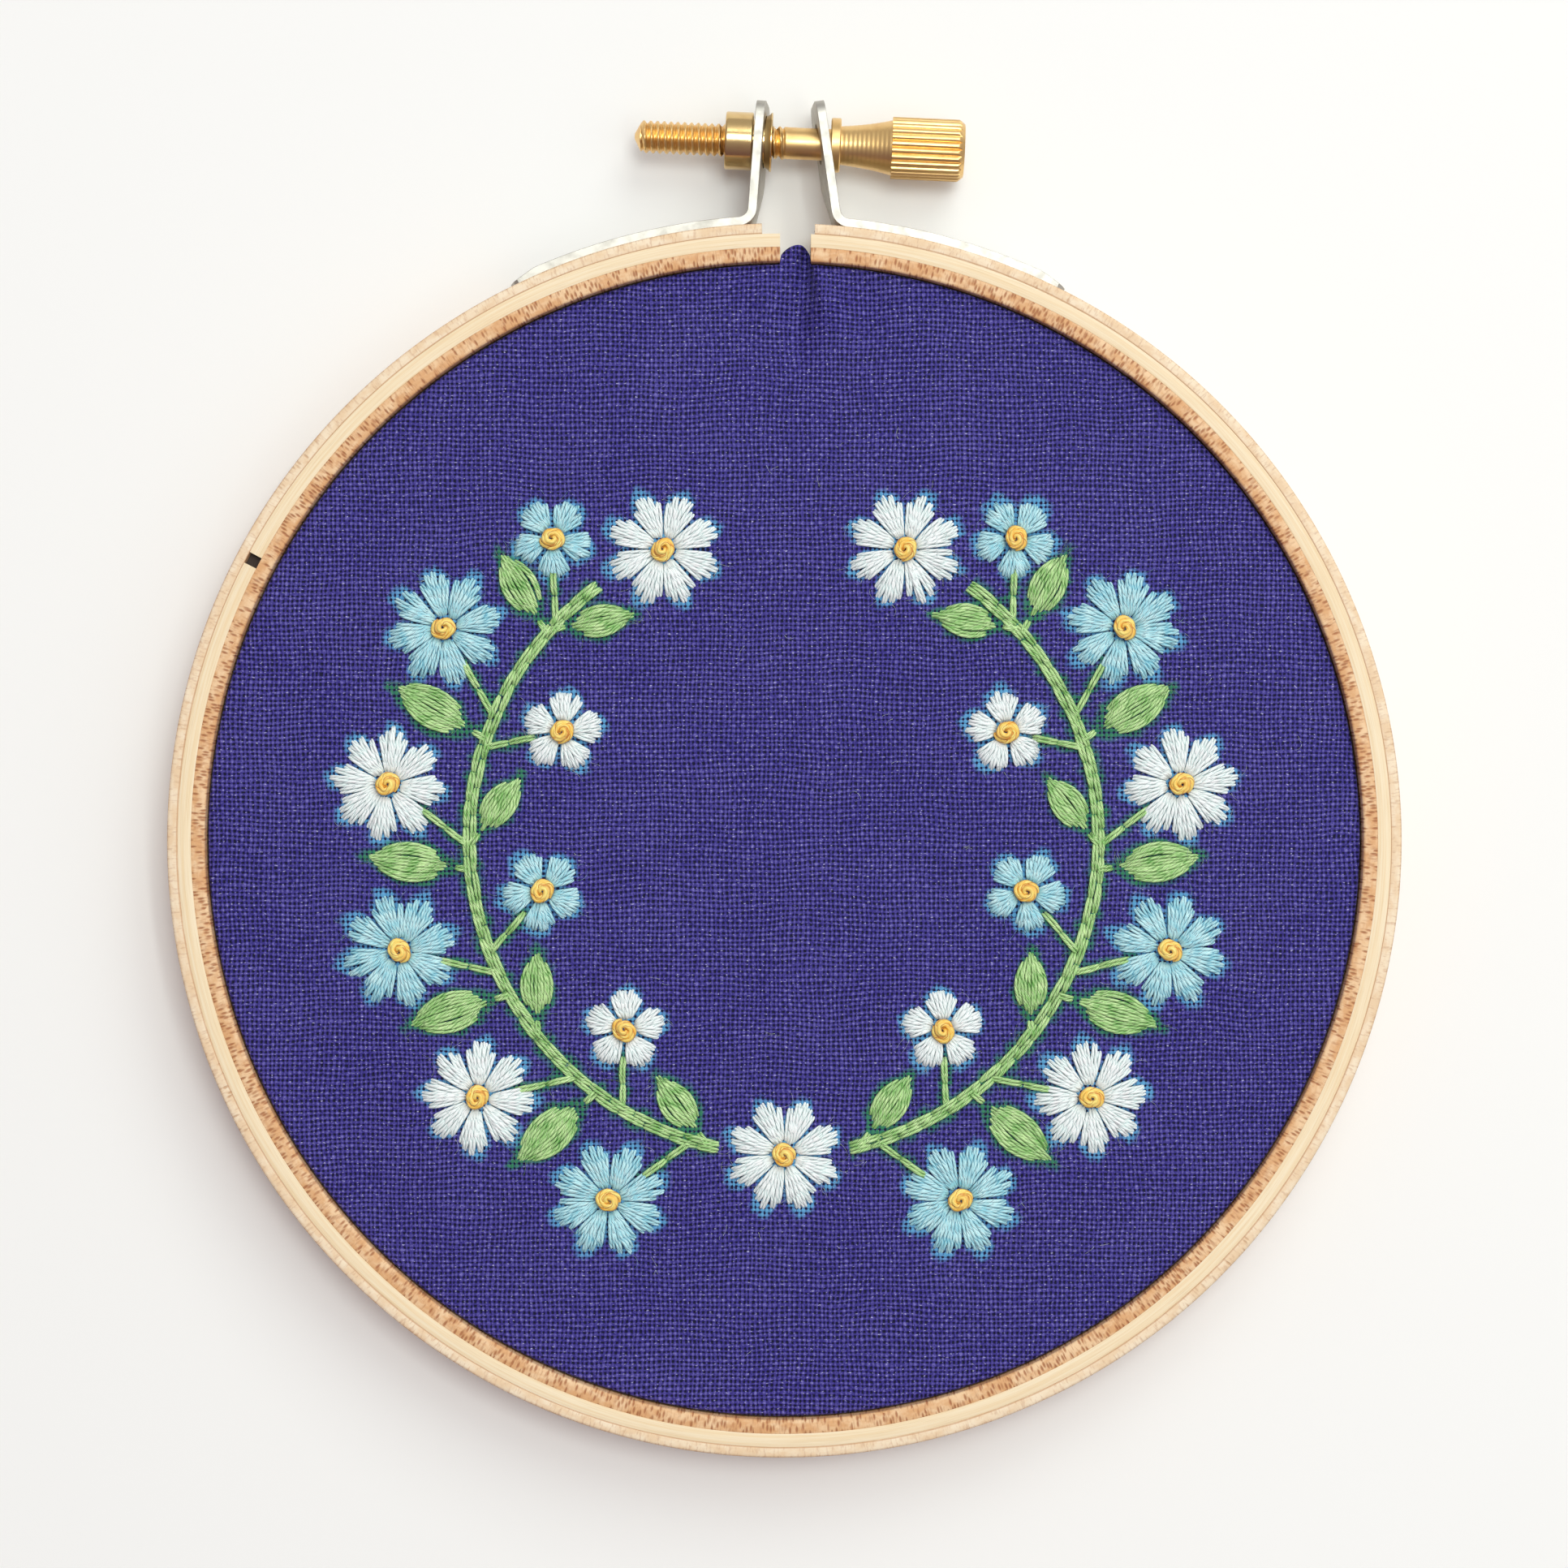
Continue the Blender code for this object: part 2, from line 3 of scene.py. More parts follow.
import bpy
import numpy as np
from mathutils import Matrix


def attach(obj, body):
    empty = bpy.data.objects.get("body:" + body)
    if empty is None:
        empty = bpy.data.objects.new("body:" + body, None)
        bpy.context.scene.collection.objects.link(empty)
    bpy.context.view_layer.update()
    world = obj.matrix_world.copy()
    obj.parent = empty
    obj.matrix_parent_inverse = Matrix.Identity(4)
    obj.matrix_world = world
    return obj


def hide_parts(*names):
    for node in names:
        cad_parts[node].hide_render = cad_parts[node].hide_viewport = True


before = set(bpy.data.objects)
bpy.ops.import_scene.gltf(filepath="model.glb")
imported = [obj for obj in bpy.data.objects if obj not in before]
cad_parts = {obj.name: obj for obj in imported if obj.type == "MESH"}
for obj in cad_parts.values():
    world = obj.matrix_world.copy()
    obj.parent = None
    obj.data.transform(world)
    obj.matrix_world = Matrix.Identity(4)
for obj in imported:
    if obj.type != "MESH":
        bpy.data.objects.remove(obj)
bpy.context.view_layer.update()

mm = 0.001
join = np.concatenate
up = np.array((0.0, 0.0, 1.0))
chance = np.random.default_rng(41)

# Sizes shared by the pieces, in mm, measured from the middle of the rings and the floor
hoop = {
    "centreY": -5.65,  # of the rings, in the row frame
    "bore": 51.4,
    "outside": 54.8,
    "depth": 8.5,
    "clothTop": 7.6,
    "clothBack": 6.65,
    "middleRadius": 53.0,  # of the wood, for lengths round it
    "buttAngle": 152.2,  # of the middle ply's joint, anticlockwise from +X
    "wreathRadius": 28.0,
}


# ---- meshes ----
def newStore():
    lists = ("points", "quads", "quadUv", "tris", "triUv", "quadSlot", "triSlot")
    return {"size": 0, **{name: [] for name in lists}}


# The corners of each cell of an index grid shaped (count, rows, columns), outward when rows run along a tube and
# columns run rightwards round it
def cellCorners(grid):
    return np.stack((grid[:, :-1, :-1], grid[:, :-1, 1:], grid[:, 1:, 1:], grid[:, 1:, :-1]), 3)


# Adds grids of points shaped (count, rows, columns, 3) in mm. Wrapped directions join up, and caps are fans to the
# mean of the end rows.
# Texture coordinates are the turn round the tube, 0 to 1, and the length along it in mm.
def addGrid(store, points, wrapRows=False, wrapColumns=True, caps=False, lengths=None, slot=0):
    count, rows, columns = points.shape[:3]
    index = store["size"] + np.arange(count * rows * columns).reshape(count, rows, columns)
    if lengths is None:
        steps = np.linalg.norm(np.diff(points[:, :, 0], axis=1), axis=2)
        lengths = join((np.zeros((count, 1)), np.cumsum(steps, 1)), 1)
    if wrapRows:
        index = join((index, index[:, :1]), 1)
        lengths = join((lengths, lengths[:, -1:] + 0.5), 1)
    if wrapColumns:
        index = join((index, index[:, :, :1]), 2)
    turn = np.linspace(0, 1, index.shape[2])
    uv = np.stack(np.broadcast_arrays(turn[None, None, :], lengths[:, :, None]), 3)
    quads = cellCorners(index).reshape(-1, 4)
    store["points"].append(points.reshape(-1, 3))
    store["quads"].append(quads)
    store["quadUv"].append(np.stack([cellCorners(uv[..., k]) for k in (0, 1)], -1).reshape(-1, 4, 2))
    store["quadSlot"].append(np.full(len(quads), slot))
    store["size"] += count * rows * columns
    if caps:
        for row, ahead in ((0, -1), (-1, 1)):
            middle = store["size"] + np.arange(count)
            rim = index[:, row]
            first, second = (rim[:, :-1], rim[:, 1:]) if ahead == 1 else (rim[:, 1:], rim[:, :-1])
            tris = np.stack((np.broadcast_to(middle[:, None], first.shape), first, second), 2).reshape(-1, 3)
            store["points"].append(points[:, row].mean(1))
            store["tris"].append(tris)
            rimUv = np.stack(np.broadcast_arrays(turn[None, :-1], lengths[:, row, None]), 2)
            store["triUv"].append(np.repeat(rimUv.reshape(-1, 1, 2), 3, 1))
            store["triSlot"].append(np.full(len(tris), slot))
            store["size"] += count


# Turns a store into a shown piece that rides on the hoop
def makePiece(name, store, materials, nodes=(), sharp=40, centred=True):
    points = join(store["points"]) * mm
    if centred:
        points[:, 1] += hoop["centreY"] * mm
    quads = join(store["quads"])
    tris = join(store["tris"]) if store["tris"] else np.zeros((0, 3), int)
    mesh = bpy.data.meshes.new(name)
    mesh.from_pydata(points, [], quads.tolist() + tris.tolist())
    triUv = join(store["triUv"]) if store["triUv"] else np.zeros((0, 3, 2))
    uv = join((join(store["quadUv"]).reshape(-1, 2), triUv.reshape(-1, 2)))
    mesh.uv_layers.new(name="alongAndRound").uv.foreach_set("vector", uv.astype(np.float32).ravel())
    for material in materials:
        mesh.materials.append(material)
    slots = join(store["quadSlot"] + store["triSlot"]).astype(np.int32)
    mesh.polygons.foreach_set("material_index", slots)
    mesh.shade_smooth()
    mesh.set_sharp_from_angle(angle=math.radians(sharp))
    made = bpy.data.objects.new(name, mesh)
    bpy.context.scene.collection.objects.link(made)
    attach(made, "root")
    if nodes:
        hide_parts(*nodes)
    return made


def onCircle(angle):
    return np.stack((np.cos(angle), np.sin(angle)), -1)


# A rectangle with rounded corners, anticlockwise from the lower left one; radii of the four corners
def roundedSection(left, right, bottom, top, radii, steps=3):
    corners = ((left, bottom, 1, 1), (right, bottom, -1, 1), (right, top, -1, -1), (left, top, 1, -1))
    points = []
    for number, ((x, y, inX, inY), radius) in enumerate(zip(corners, radii)):
        turn = np.pi * (1 + number / 2) + np.linspace(0, np.pi / 2, steps + 1)
        centre = np.array((x + inX * radius, y + inY * radius))
        points.append(centre + radius * onCircle(turn))
    return join(points)


def smoothStep(value, low, high):
    t = np.clip((value - low) / (high - low), 0, 1)
    return t * t * (3 - 2 * t)


# ---- materials ----
# A colour given as seen on a screen, 0 to 255, as linear light
def tint(red, green, blue):
    share = np.array((red, green, blue)) / 255
    linear = np.where(share <= 0.04045, share / 12.92, ((share + 0.055) / 1.055) ** 2.4)
    return (*linear.tolist(), 1.0)


# A value that a material's nodes work out; each arithmetic sign adds a node
class Field:
    def __init__(self, socket):
        self.socket = socket
        self.tree = socket.id_data

    def calc(self, operation, *others, clamp=False):
        inputs = dict(enumerate((self, *others)))
        return Field(node(self.tree, "Math", inputs, operation=operation, use_clamp=clamp).outputs[0])

    def __add__(self, other):
        return self.calc("ADD", other)

    def __sub__(self, other):
        return self.calc("SUBTRACT", other)

    def __mul__(self, other):
        return self.calc("MULTIPLY", other)

    def __truediv__(self, other):
        return self.calc("DIVIDE", other)


def connect(socket, value):
    if isinstance(value, Field):
        value.tree.links.new(value.socket, socket)
    else:
        socket.default_value = value


def node(tree, kind, inputs, **settings):
    made = tree.nodes.new("ShaderNode" + kind)
    for key, value in settings.items():
        setattr(made, key, value)
    for key, value in inputs.items():
        connect(made.inputs[key], value)
    return made


# Blends two colours, each a field or red, green and blue from 0 to 255, by a share
def blend(share, first, second):
    made = node(share.tree, "Mix", {"Factor": share}, data_type="RGBA")
    for number, colour in ((6, first), (7, second)):
        connect(made.inputs[number], colour if isinstance(colour, Field) else tint(*colour))
    return Field(made.outputs[2])


# Eases a value from 0 at low to amount at high
def ramp(value, low, high, amount=1.0):
    inputs = {"Value": value, "From Min": low, "From Max": high, "To Min": 0.0, "To Max": amount}
    return Field(node(value.tree, "MapRange", inputs, interpolation_type="SMOOTHSTEP").outputs[0])


def vector(x, y=0.0, z=0.0):
    return Field(node(x.tree, "CombineXYZ", {"X": x, "Y": y, "Z": z}).outputs[0])


def noise(place, scale, detail=2.0, roughness=0.5):
    inputs = {"Vector": place, "Scale": scale, "Detail": detail, "Roughness": roughness}
    return Field(node(place.tree, "TexNoise", inputs).outputs["Fac"])


def coordinates(tree, kind):
    return Field(node(tree, "TexCoord", {}).outputs[kind])


def partsOf(place):
    return [Field(socket) for socket in node(place.tree, "SeparateXYZ", {"Vector": place}).outputs]


def newMaterial(name, roughness, metallic=0.0, **fixed):
    made = bpy.data.materials.new(name)
    made.use_nodes = True
    shader = made.node_tree.nodes["Principled BSDF"]
    shader.inputs["Roughness"].default_value = roughness
    shader.inputs["Metallic"].default_value = metallic
    for key, value in fixed.items():
        shader.inputs[key.replace("_", " ")].default_value = value
    return made, made.node_tree, shader


# Gives the shader its colour and a bump from a height, its depth in mm
def finish(shader, colour, height, depth):
    connect(shader.inputs["Base Color"], colour)
    bump = node(colour.tree, "Bump", {"Height": height, "Strength": 1.0, "Distance": depth * mm})
    connect(shader.inputs["Normal"], Field(bump.outputs[0]))


# Object coordinates in mm, as a vector and its three parts
def placeInMm(tree):
    inputs = {0: coordinates(tree, "Object"), 1: (1 / mm,) * 3}
    place = Field(node(tree, "VectorMath", inputs, operation="MULTIPLY").outputs[0])
    return place, *partsOf(place)


# Length round the ring, radius and height, in mm; the seam of the angle lies in the split at the top
def placeRoundRing(tree):
    _, x, y, z = placeInMm(tree)
    y = y - hoop["centreY"]
    radius = (x * x + y * y).calc("SQRT")
    return x.calc("ARCTAN2", y * -1.0) * hoop["middleRadius"], radius, z


# The edge colours are painted shade at the ring's inner and outer edges
wood = {
    "innerPly": {"pale": (245, 207, 162), "middle": (226, 171, 117), "dark": (174, 104, 60), "edge": (150, 104, 68)},
    "middlePly": {"pale": (251, 232, 198), "middle": (245, 218, 174), "dark": (222, 190, 140)},
    "outerPly": {"pale": (250, 230, 200), "middle": (240, 209, 170), "dark": (206, 158, 116), "edge": (186, 138, 104)},
    # painted shade inside the butt joint
    "joint": (58, 38, 24),
}


# Plies whose pores are cut across: short radial dashes, thick and thin, on a mottled ground.
# The share of pores that show, the fineness across the ring, where the painted shade at the edges begins and ends, and
# the glue line.
def crossPly(name, colours, dashes, thin, edges, glueRadius=None):
    made, tree, shader = newMaterial(name, 0.62)
    along, radius, z = placeRoundRing(tree)
    mottle = noise(vector(along * 0.55, radius, z * 0.2), 1.0, 3.0, 0.6)
    colour = blend(ramp(mottle, 0.35, 0.68), colours["middle"], colours["pale"])
    fine = noise(vector(along * 6.0, radius * thin, z), 1.0)
    colour = blend(ramp(fine, 0.5, 0.72, 0.45), colour, colours["dark"])
    inputs = {"Vector": vector(along * 3.4, z * 0.25 + radius * 1.1), "Scale": 1.0, "Randomness": 1.0}
    pores = node(tree, "TexVoronoi", inputs, voronoi_dimensions="2D").outputs
    chosen = Field(node(tree, "SeparateColor", {"Color": Field(pores["Color"])}).outputs[0])
    # More pores in some stretches than in others
    chosen = chosen + noise(vector(along), 0.04) * 1.6 - 0.8
    dash = ramp(Field(pores["Distance"]), 0.5, 0.12) * ramp(chosen, 1.0 - dashes, 1.4 - dashes)
    colour = blend(dash * 0.85, colour, colours["dark"])
    if glueRadius:
        beside = (radius - mottle * 0.12 - (glueRadius - 0.04)).calc("ABSOLUTE")
        colour = blend(ramp(beside, 0.09, 0.02, 0.75), colour, colours["dark"])
    # Painted shade: darker towards the inner edge beside the cloth and towards the outer edge
    colour = blend(ramp(fine * 0.25 + radius, *edges, 0.7), colour, colours["edge"])
    finish(shader, colour, dash * -1.0, 0.05)
    return made


# The ply with its grain along the ring: long faint streaks. Inside its butt joint, where the layer ends meet, painted
# shade darkens the walls below the rim of the notch.
def longPly(name, colours, joint=None):
    made, tree, shader = newMaterial(name, 0.58)
    along, radius, z = placeRoundRing(tree)
    streaks = noise(vector(along * 0.07, radius * 5.0, z * 2.0), 1.0, 3.0, 0.6)
    colour = blend(ramp(streaks, 0.32, 0.66), colours["middle"], colours["pale"])
    lines = noise(vector(along * 0.25, radius * 16.0, z * 6.0), 1.0)
    colour = blend(ramp(lines, 0.56, 0.75, 0.5), colour, colours["dark"])
    if joint:
        beside = (along + math.radians(270 - joint) * hoop["middleRadius"]).calc("ABSOLUTE")
        # Painted shade inside the butt joint's notch, darker below its rim
        colour = blend(ramp(beside, 1.0, 0.8) * ramp(z, 8.4, 8.0), colour, wood["joint"])
    finish(shader, colour, lines, 0.02)
    return made


# The hole and valley colours are painted shade between the threads; crown and glint are painted highlights
clothLook = {
    "warpPitch": 0.41,
    "weftPitch": 0.44,
    "hole": (0, 0, 46),
    "valley": (18, 11, 94),
    "warp": (46, 37, 126),
    "weft": (57, 48, 137),
    "crown": (120, 113, 190),
    "inkBlue": (96, 180, 222),
    "inkGreen": (40, 132, 72),
    "glint": (206, 204, 238),
    "bumpDepth": 0.08,
    "fixed": {"Specular_IOR_Level": 0.25, "Sheen_Weight": 0.08, "Sheen_Roughness": 0.5},
}


# Plain weave: each thread is a ridge |sin| across it and waves over and under along it, and the higher thread shows
def weaveMaterial():
    look = clothLook
    made, tree, shader = newMaterial("indigoCotton", 0.65, **look["fixed"])
    place, x, y, _ = placeInMm(tree)
    # Each thread strays a little as a whole, and all of them drift together
    drift = [noise(vector(x + shift, y), 0.12, 1.0) for shift in (0.0, 90.0)]
    strayScales = ((1.8, 0.3, 0.0), (0.3, 1.7, 9.0))
    stray = [noise(vector(x * right, y * ahead, shift), 1.0, 1.0) for right, ahead, shift in strayScales]
    across = x / look["warpPitch"] + stray[0] * 0.7 + drift[0] * 2.0
    along = y / look["weftPitch"] + stray[1] * 0.7 + drift[1] * 2.0
    sines = [(value * math.pi).calc("SINE") for value in (across, along)]
    ridges = [value.calc("ABSOLUTE") for value in sines]
    signs = [value.calc("SIGN") for value in sines]
    heights = []
    for this, other, over in ((0, 1, 0.5), (1, 0, -0.5)):
        wave = sines[other] * signs[this] * over + 0.5
        heights.append(ridges[this].calc("POWER", 0.5) * wave)
    height = heights[0].calc("MAXIMUM", heights[1])
    speck = noise(place, 3.4, 2.0, 0.7)
    patch = noise(place, 0.16)
    # A dark hole of painted shade shows at each crossing of the gaps, larger or smaller at random
    gaps = [ramp(speck * 0.7 + ridge - 0.35, 0.86, 0.56) for ridge in ridges]
    hole = gaps[0] * gaps[1]
    weftOver = ramp(heights[1] - heights[0], -0.1, 0.1)
    colour = blend(weftOver, look["warp"], look["weft"])
    # Painted shade: darker where the threads dip between each other
    colour = blend(ramp(height, 0.5, 0.2), colour, look["valley"])
    # Painted highlight: thread crowns lighter, more so on the weft floats
    lit = ramp(height, 0.6, 0.98) * ramp(speck, 0.36, 0.66) * (weftOver * 0.35 + 0.6)
    colour = blend(lit, colour, look["crown"])
    colour = blend(ramp(patch, 0.35, 0.75, 0.07), colour, look["crown"])
    # Painted glints: short whitish highlights on the threads, placed by stretched noise
    hairs = noise(vector(x * 3.0, y * 6.5), 1.0, 1.0)
    colour = blend(ramp(hairs, 0.64, 0.76, 0.6), colour, look["glint"])
    # Painted shade in the holes
    colour = blend(hole, colour, look["hole"])
    for name in ("inkBlue", "inkGreen"):
        amount = Field(node(tree, "Attribute", {}, attribute_name=name).outputs["Fac"])
        grip = amount * ramp(height + speck * 0.6, 0.6, 1.0)
        colour = blend(grip - grip * hole, colour, look[name])
    finish(shader, colour, height + speck * 0.5, look["bumpDepth"])
    return made


# Groove colours are painted shade in the grooves between plies and at the sides of each strand
floss = {
    "white": {"light": (255, 255, 255), "shade": (242, 255, 252), "groove": (156, 190, 190)},
    "blue": {"light": (222, 255, 255), "shade": (128, 206, 224), "groove": (36, 104, 142)},
    "green": {"light": (226, 255, 186), "shade": (96, 172, 68), "groove": (18, 66, 18)},
    "yellow": {"light": (255, 242, 142), "shade": (252, 182, 52), "groove": (196, 88, 8), "core": (226, 108, 18)},
}
flossFixed = {"Specular_IOR_Level": 0.45, "Sheen_Weight": 0.1, "Sheen_Roughness": 0.4}


# Stranded cotton: two plies wind round each strand, so there are grooves where turn + length / lay is whole or a half,
# and finer fibres lie along them; painted shade darkens the grooves, and the sides of a strand, against its neighbours,
# darkest
def flossMaterial(name, look):
    made, tree, shader = newMaterial("floss" + name, 0.45, **flossFixed)
    turn, length, _ = partsOf(coordinates(tree, "UV"))
    place = placeInMm(tree)[0]
    jitter = noise(place, 1.6)
    phase = turn + length / 1.8 + jitter * 0.3
    plies, crown = [(value * (2 * math.pi)).calc("SINE").calc("ABSOLUTE") for value in (phase, turn)]
    hairs = noise(vector(phase * 16.0, length * 0.9, jitter), 1.0)
    share = (hairs * 2.0 + noise(place, 1.1) * 1.3).calc("ADD", -1.1, clamp=True)
    colour = blend(share, look["shade"], look["light"])
    if "core" in look:
        colour = blend(ramp(length, 3.4, 5.6, 0.85), colour, look["core"])
    # Painted shade in the ply grooves and at the strand's sides
    dark = ramp(plies, 0.4, 0.02, 0.7).calc("MAXIMUM", ramp(crown, 0.55, 0.12, 0.9))
    colour = blend(dark, colour, look["groove"])
    finish(shader, colour, plies * 1.4 + hairs, 0.04)
    return made


metal = {
    "steel": {"base": (191, 187, 178), "mark": (150, 146, 138), "roughness": 0.45, "scratch": 0.005},
    "brass": {"base": (240, 201, 136), "mark": (224, 177, 113), "roughness": 0.33, "scratch": 0.0012},
    "nutBrass": {"base": (228, 196, 138), "mark": (208, 168, 112), "roughness": 0.16, "scratch": 0.0006},
}


# Metal with worn, rougher spots and fine scratches, which a stretch per axis draws out across it
def metalMaterial(name, look, stretch):
    made, tree, shader = newMaterial(name, look["roughness"], 1.0)
    place, *parts = placeInMm(tree)
    spots = noise(place, 0.8, 4.0, 0.6)
    lines = noise(vector(*[part * size for part, size in zip(parts, stretch)]), 1.0, 3.0, 0.6)
    colour = blend(ramp(spots, 0.42, 0.72, 0.4), look["base"], look["mark"])
    rough = ramp(spots, 0.35, 0.75, 0.06) + (look["roughness"] - 0.04)
    connect(shader.inputs["Roughness"], rough + lines * 0.08)
    finish(shader, colour, lines, look["scratch"])
    return made


innerPly = crossPly("woodInnerPly", wood["innerPly"], 0.8, 1.2, (51.6, 51.42))
middlePly = longPly("woodMiddlePly", wood["middlePly"], hoop["buttAngle"])
outerPly = crossPly("woodOuterPly", wood["outerPly"], 0.12, 1.5, (54.75, 55.0), 53.87)
innerRingWood = longPly("woodInnerRing", wood["middlePly"])
cottonWeave = weaveMaterial()
flossOf = {name: flossMaterial(name, look) for name, look in floss.items()}
steel = metalMaterial("plateSteel", metal["steel"], (1.4, 1.4, 9.0))
brass = metalMaterial("screwBrass", metal["brass"], (11.0, 0.3, 0.3))
nutBrass = metalMaterial("nutBrass", metal["nutBrass"], (11.0, 0.3, 0.3))
print("materials made")

# ---- rings ----
rings = {
    # inner radius, outer radius, the x of the right and the left sawn end, material
    "plies": ((51.4, 52.65, 2.39, -0.35), (52.65, 53.85, 2.39, -0.35), (53.85, 54.8, 2.76, -1.97)),
    "steps": 480,
    "edge": 0.25,
    "glueLine": 0.045,
    "buttGap": 1.05,
    "buttFloor": 7.2,
    "innerRing": (46.6, 49.8, 6.3),
}


# A section of (radius, height) carried clockwise round the hoop; each of its points starts and stops on the sawn ends,
# lines of constant x. It wavers by two slow sines. Between the two sides of a butt joint the section's top is cut down.
def carriedRound(section, rightX, leftX, wobble, joint=None):
    share = np.linspace(0, 1, rings["steps"] + 1)
    radius = section[:, 0]
    start = np.arccos(rightX / radius)
    stop = np.arccos(leftX / radius) - 2 * np.pi
    low = np.zeros(0, bool)
    if joint:
        middle = (start.mean() - math.radians(joint - 360)) / (start.mean() - stop.mean())
        half = rings["buttGap"] / 2 / radius.mean() / (start.mean() - stop.mean())
        edges = middle + half * np.array((-1.0, -0.98, 0.98, 1.0))
        share = np.sort(join((share[np.abs(share - middle) > half], edges)))
        low = np.abs(share - middle) < half * 0.99
    angle = start + share[:, None] * (stop - start)
    waver = wobble * (np.sin(3 * angle + 1.1) + 0.6 * np.sin(7 * angle + 2.0))
    height = section[:, 1] + waver * 0.6 * (section[:, 1] > 4)
    if joint:
        height = np.where(low[:, None], np.minimum(height, rings["buttFloor"]), height)
    reach = radius + waver
    return np.stack((reach * np.cos(angle), reach * np.sin(angle), height), 2)[None]


outer = newStore()
glue = rings["glueLine"]
edge = rings["edge"]
for number, (low, high, rightX, leftX) in enumerate(rings["plies"]):
    inside = edge if number == 0 else glue
    outside = edge if number == 2 else glue
    section = roundedSection(low, high, 0, hoop["depth"], (inside, outside, outside, inside))
    joint = hoop["buttAngle"] if number == 1 else None
    addGrid(outer, carriedRound(section, rightX, leftX, 0.02, joint), caps=True, slot=number)
makePiece("outer_ring_wood", outer, (innerPly, middlePly, outerPly), ("outer_ring",), sharp=50)

inner = newStore()
low, high, top = rings["innerRing"]
section = roundedSection(low, high, 0, top, (0.4,) * 4)
angle = -np.linspace(0, 2 * np.pi, rings["steps"], endpoint=False)
circle = onCircle(angle)
height = np.broadcast_to(section[:, 1:], (len(angle), len(section), 1))
grid = join((section[None, :, :1] * circle[:, None], height), 2)
addGrid(inner, grid[None], wrapRows=True)
makePiece("inner_ring_wood", inner, (innerRingWood,), ("inner_ring",), sharp=50)
print("rings made")

# ---- where the motifs lie ----
wreath = {
    "stem": (-78, 54),
    "stalkLead": 9,
    "leafStalk": 1.5,
    "leafWidth": 0.42,
    "large": {"petals": 8, "radius": 5.2, "waist": 0.42},
    "small": {"petals": 5, "radius": 3.7, "waist": 0.45},
    # kind, floss, angle round the wreath, reach from the stem
    "flowers": (
        ("large", "blue", -64, 7.6),
        ("small", "white", -50, -6.0),
        ("large", "white", -40, 7.6),
        ("large", "blue", -16, 7.6),
        ("small", "blue", -12, -6.0),
        ("large", "white", 8, 7.6),
        ("small", "white", 26, -6.0),
        ("large", "blue", 32, 7.6),
        ("small", "blue", 52.5, 5.8),
        ("large", "white", 67.5, 0.0),
    ),
    # angle, side of the stem, length, spread from the stem
    "leaves": (
        (-76, -1, 6.5, 40),
        (-53.3, 1, 8.3, 78),
        (-38.5, -1, 6.4, 38),
        (-29.3, 1, 8.3, 78),
        (-5.3, 1, 8.3, 78),
        (-1, -1, 6.4, 38),
        (18.7, 1, 8.3, 78),
        (41, 1, 7.0, 70),
        (42, -1, 6.5, 38),
    ),
}


# A point on the wreath at an angle in degrees, mirrored for the left side
def stemPoint(degrees, side, radius=hoop["wreathRadius"]):
    turn = np.radians(degrees)
    return np.stack((side * radius * np.cos(turn), radius * np.sin(turn)), -1)


def flowerPlace(flower, side):
    return stemPoint(flower[2], side, hoop["wreathRadius"] + flower[3])


def leafPlace(leaf, side):
    angle, leafSide, length, spread = leaf
    heading = math.radians(angle + 90 - leafSide * spread)
    return stemPoint(angle, side), np.array((side * math.cos(heading), math.sin(heading)))


# Petal outline: radius = R (waist + (1 - waist) |cos(n angle / 2)| ^ 0.7)
def petalRadius(kind, angle):
    bloom = wreath[kind]
    lobe = np.abs(np.cos(bloom["petals"] * angle / 2)) ** 0.7
    return bloom["radius"] * (bloom["waist"] + (1 - bloom["waist"]) * lobe)


# Half width of a leaf at a share of its length: width / 2 sin(pi share ^ 0.8)
def leafHalfWidth(length, share):
    return length * wreath["leafWidth"] / 2 * np.sin(np.pi * np.clip(share, 0, 1) ** 0.8)


blooms = [("flower_foot_white", "large", "white", stemPoint(-90, 1), math.pi / 8)]
leaves = []
stalks = {"left": [], "right": []}
for side, word in ((-1, "left"), (1, "right")):
    for number, flower in enumerate(wreath["flowers"], 1):
        centre = flowerPlace(flower, side)
        nodeName = f"flower_{word}_{number}_{flower[1]}"
        blooms.append((nodeName, flower[0], flower[1], centre, math.atan2(centre[1], centre[0])))
        if number < len(wreath["flowers"]):
            root = stemPoint(flower[2] - wreath["stalkLead"], side)
            away = root - centre
            tip = centre + away / np.linalg.norm(away) * (wreath[flower[0]]["radius"] * 0.66)
            stalks[word].append((root, tip))
    for number, leaf in enumerate(wreath["leaves"], 1):
        root, direction = leafPlace(leaf, side)
        leaves.append((f"leaf_{word}_{number}", root, direction, leaf[2]))
        stalks[word].append((root, root + direction * (wreath["leafStalk"] - 0.2)))

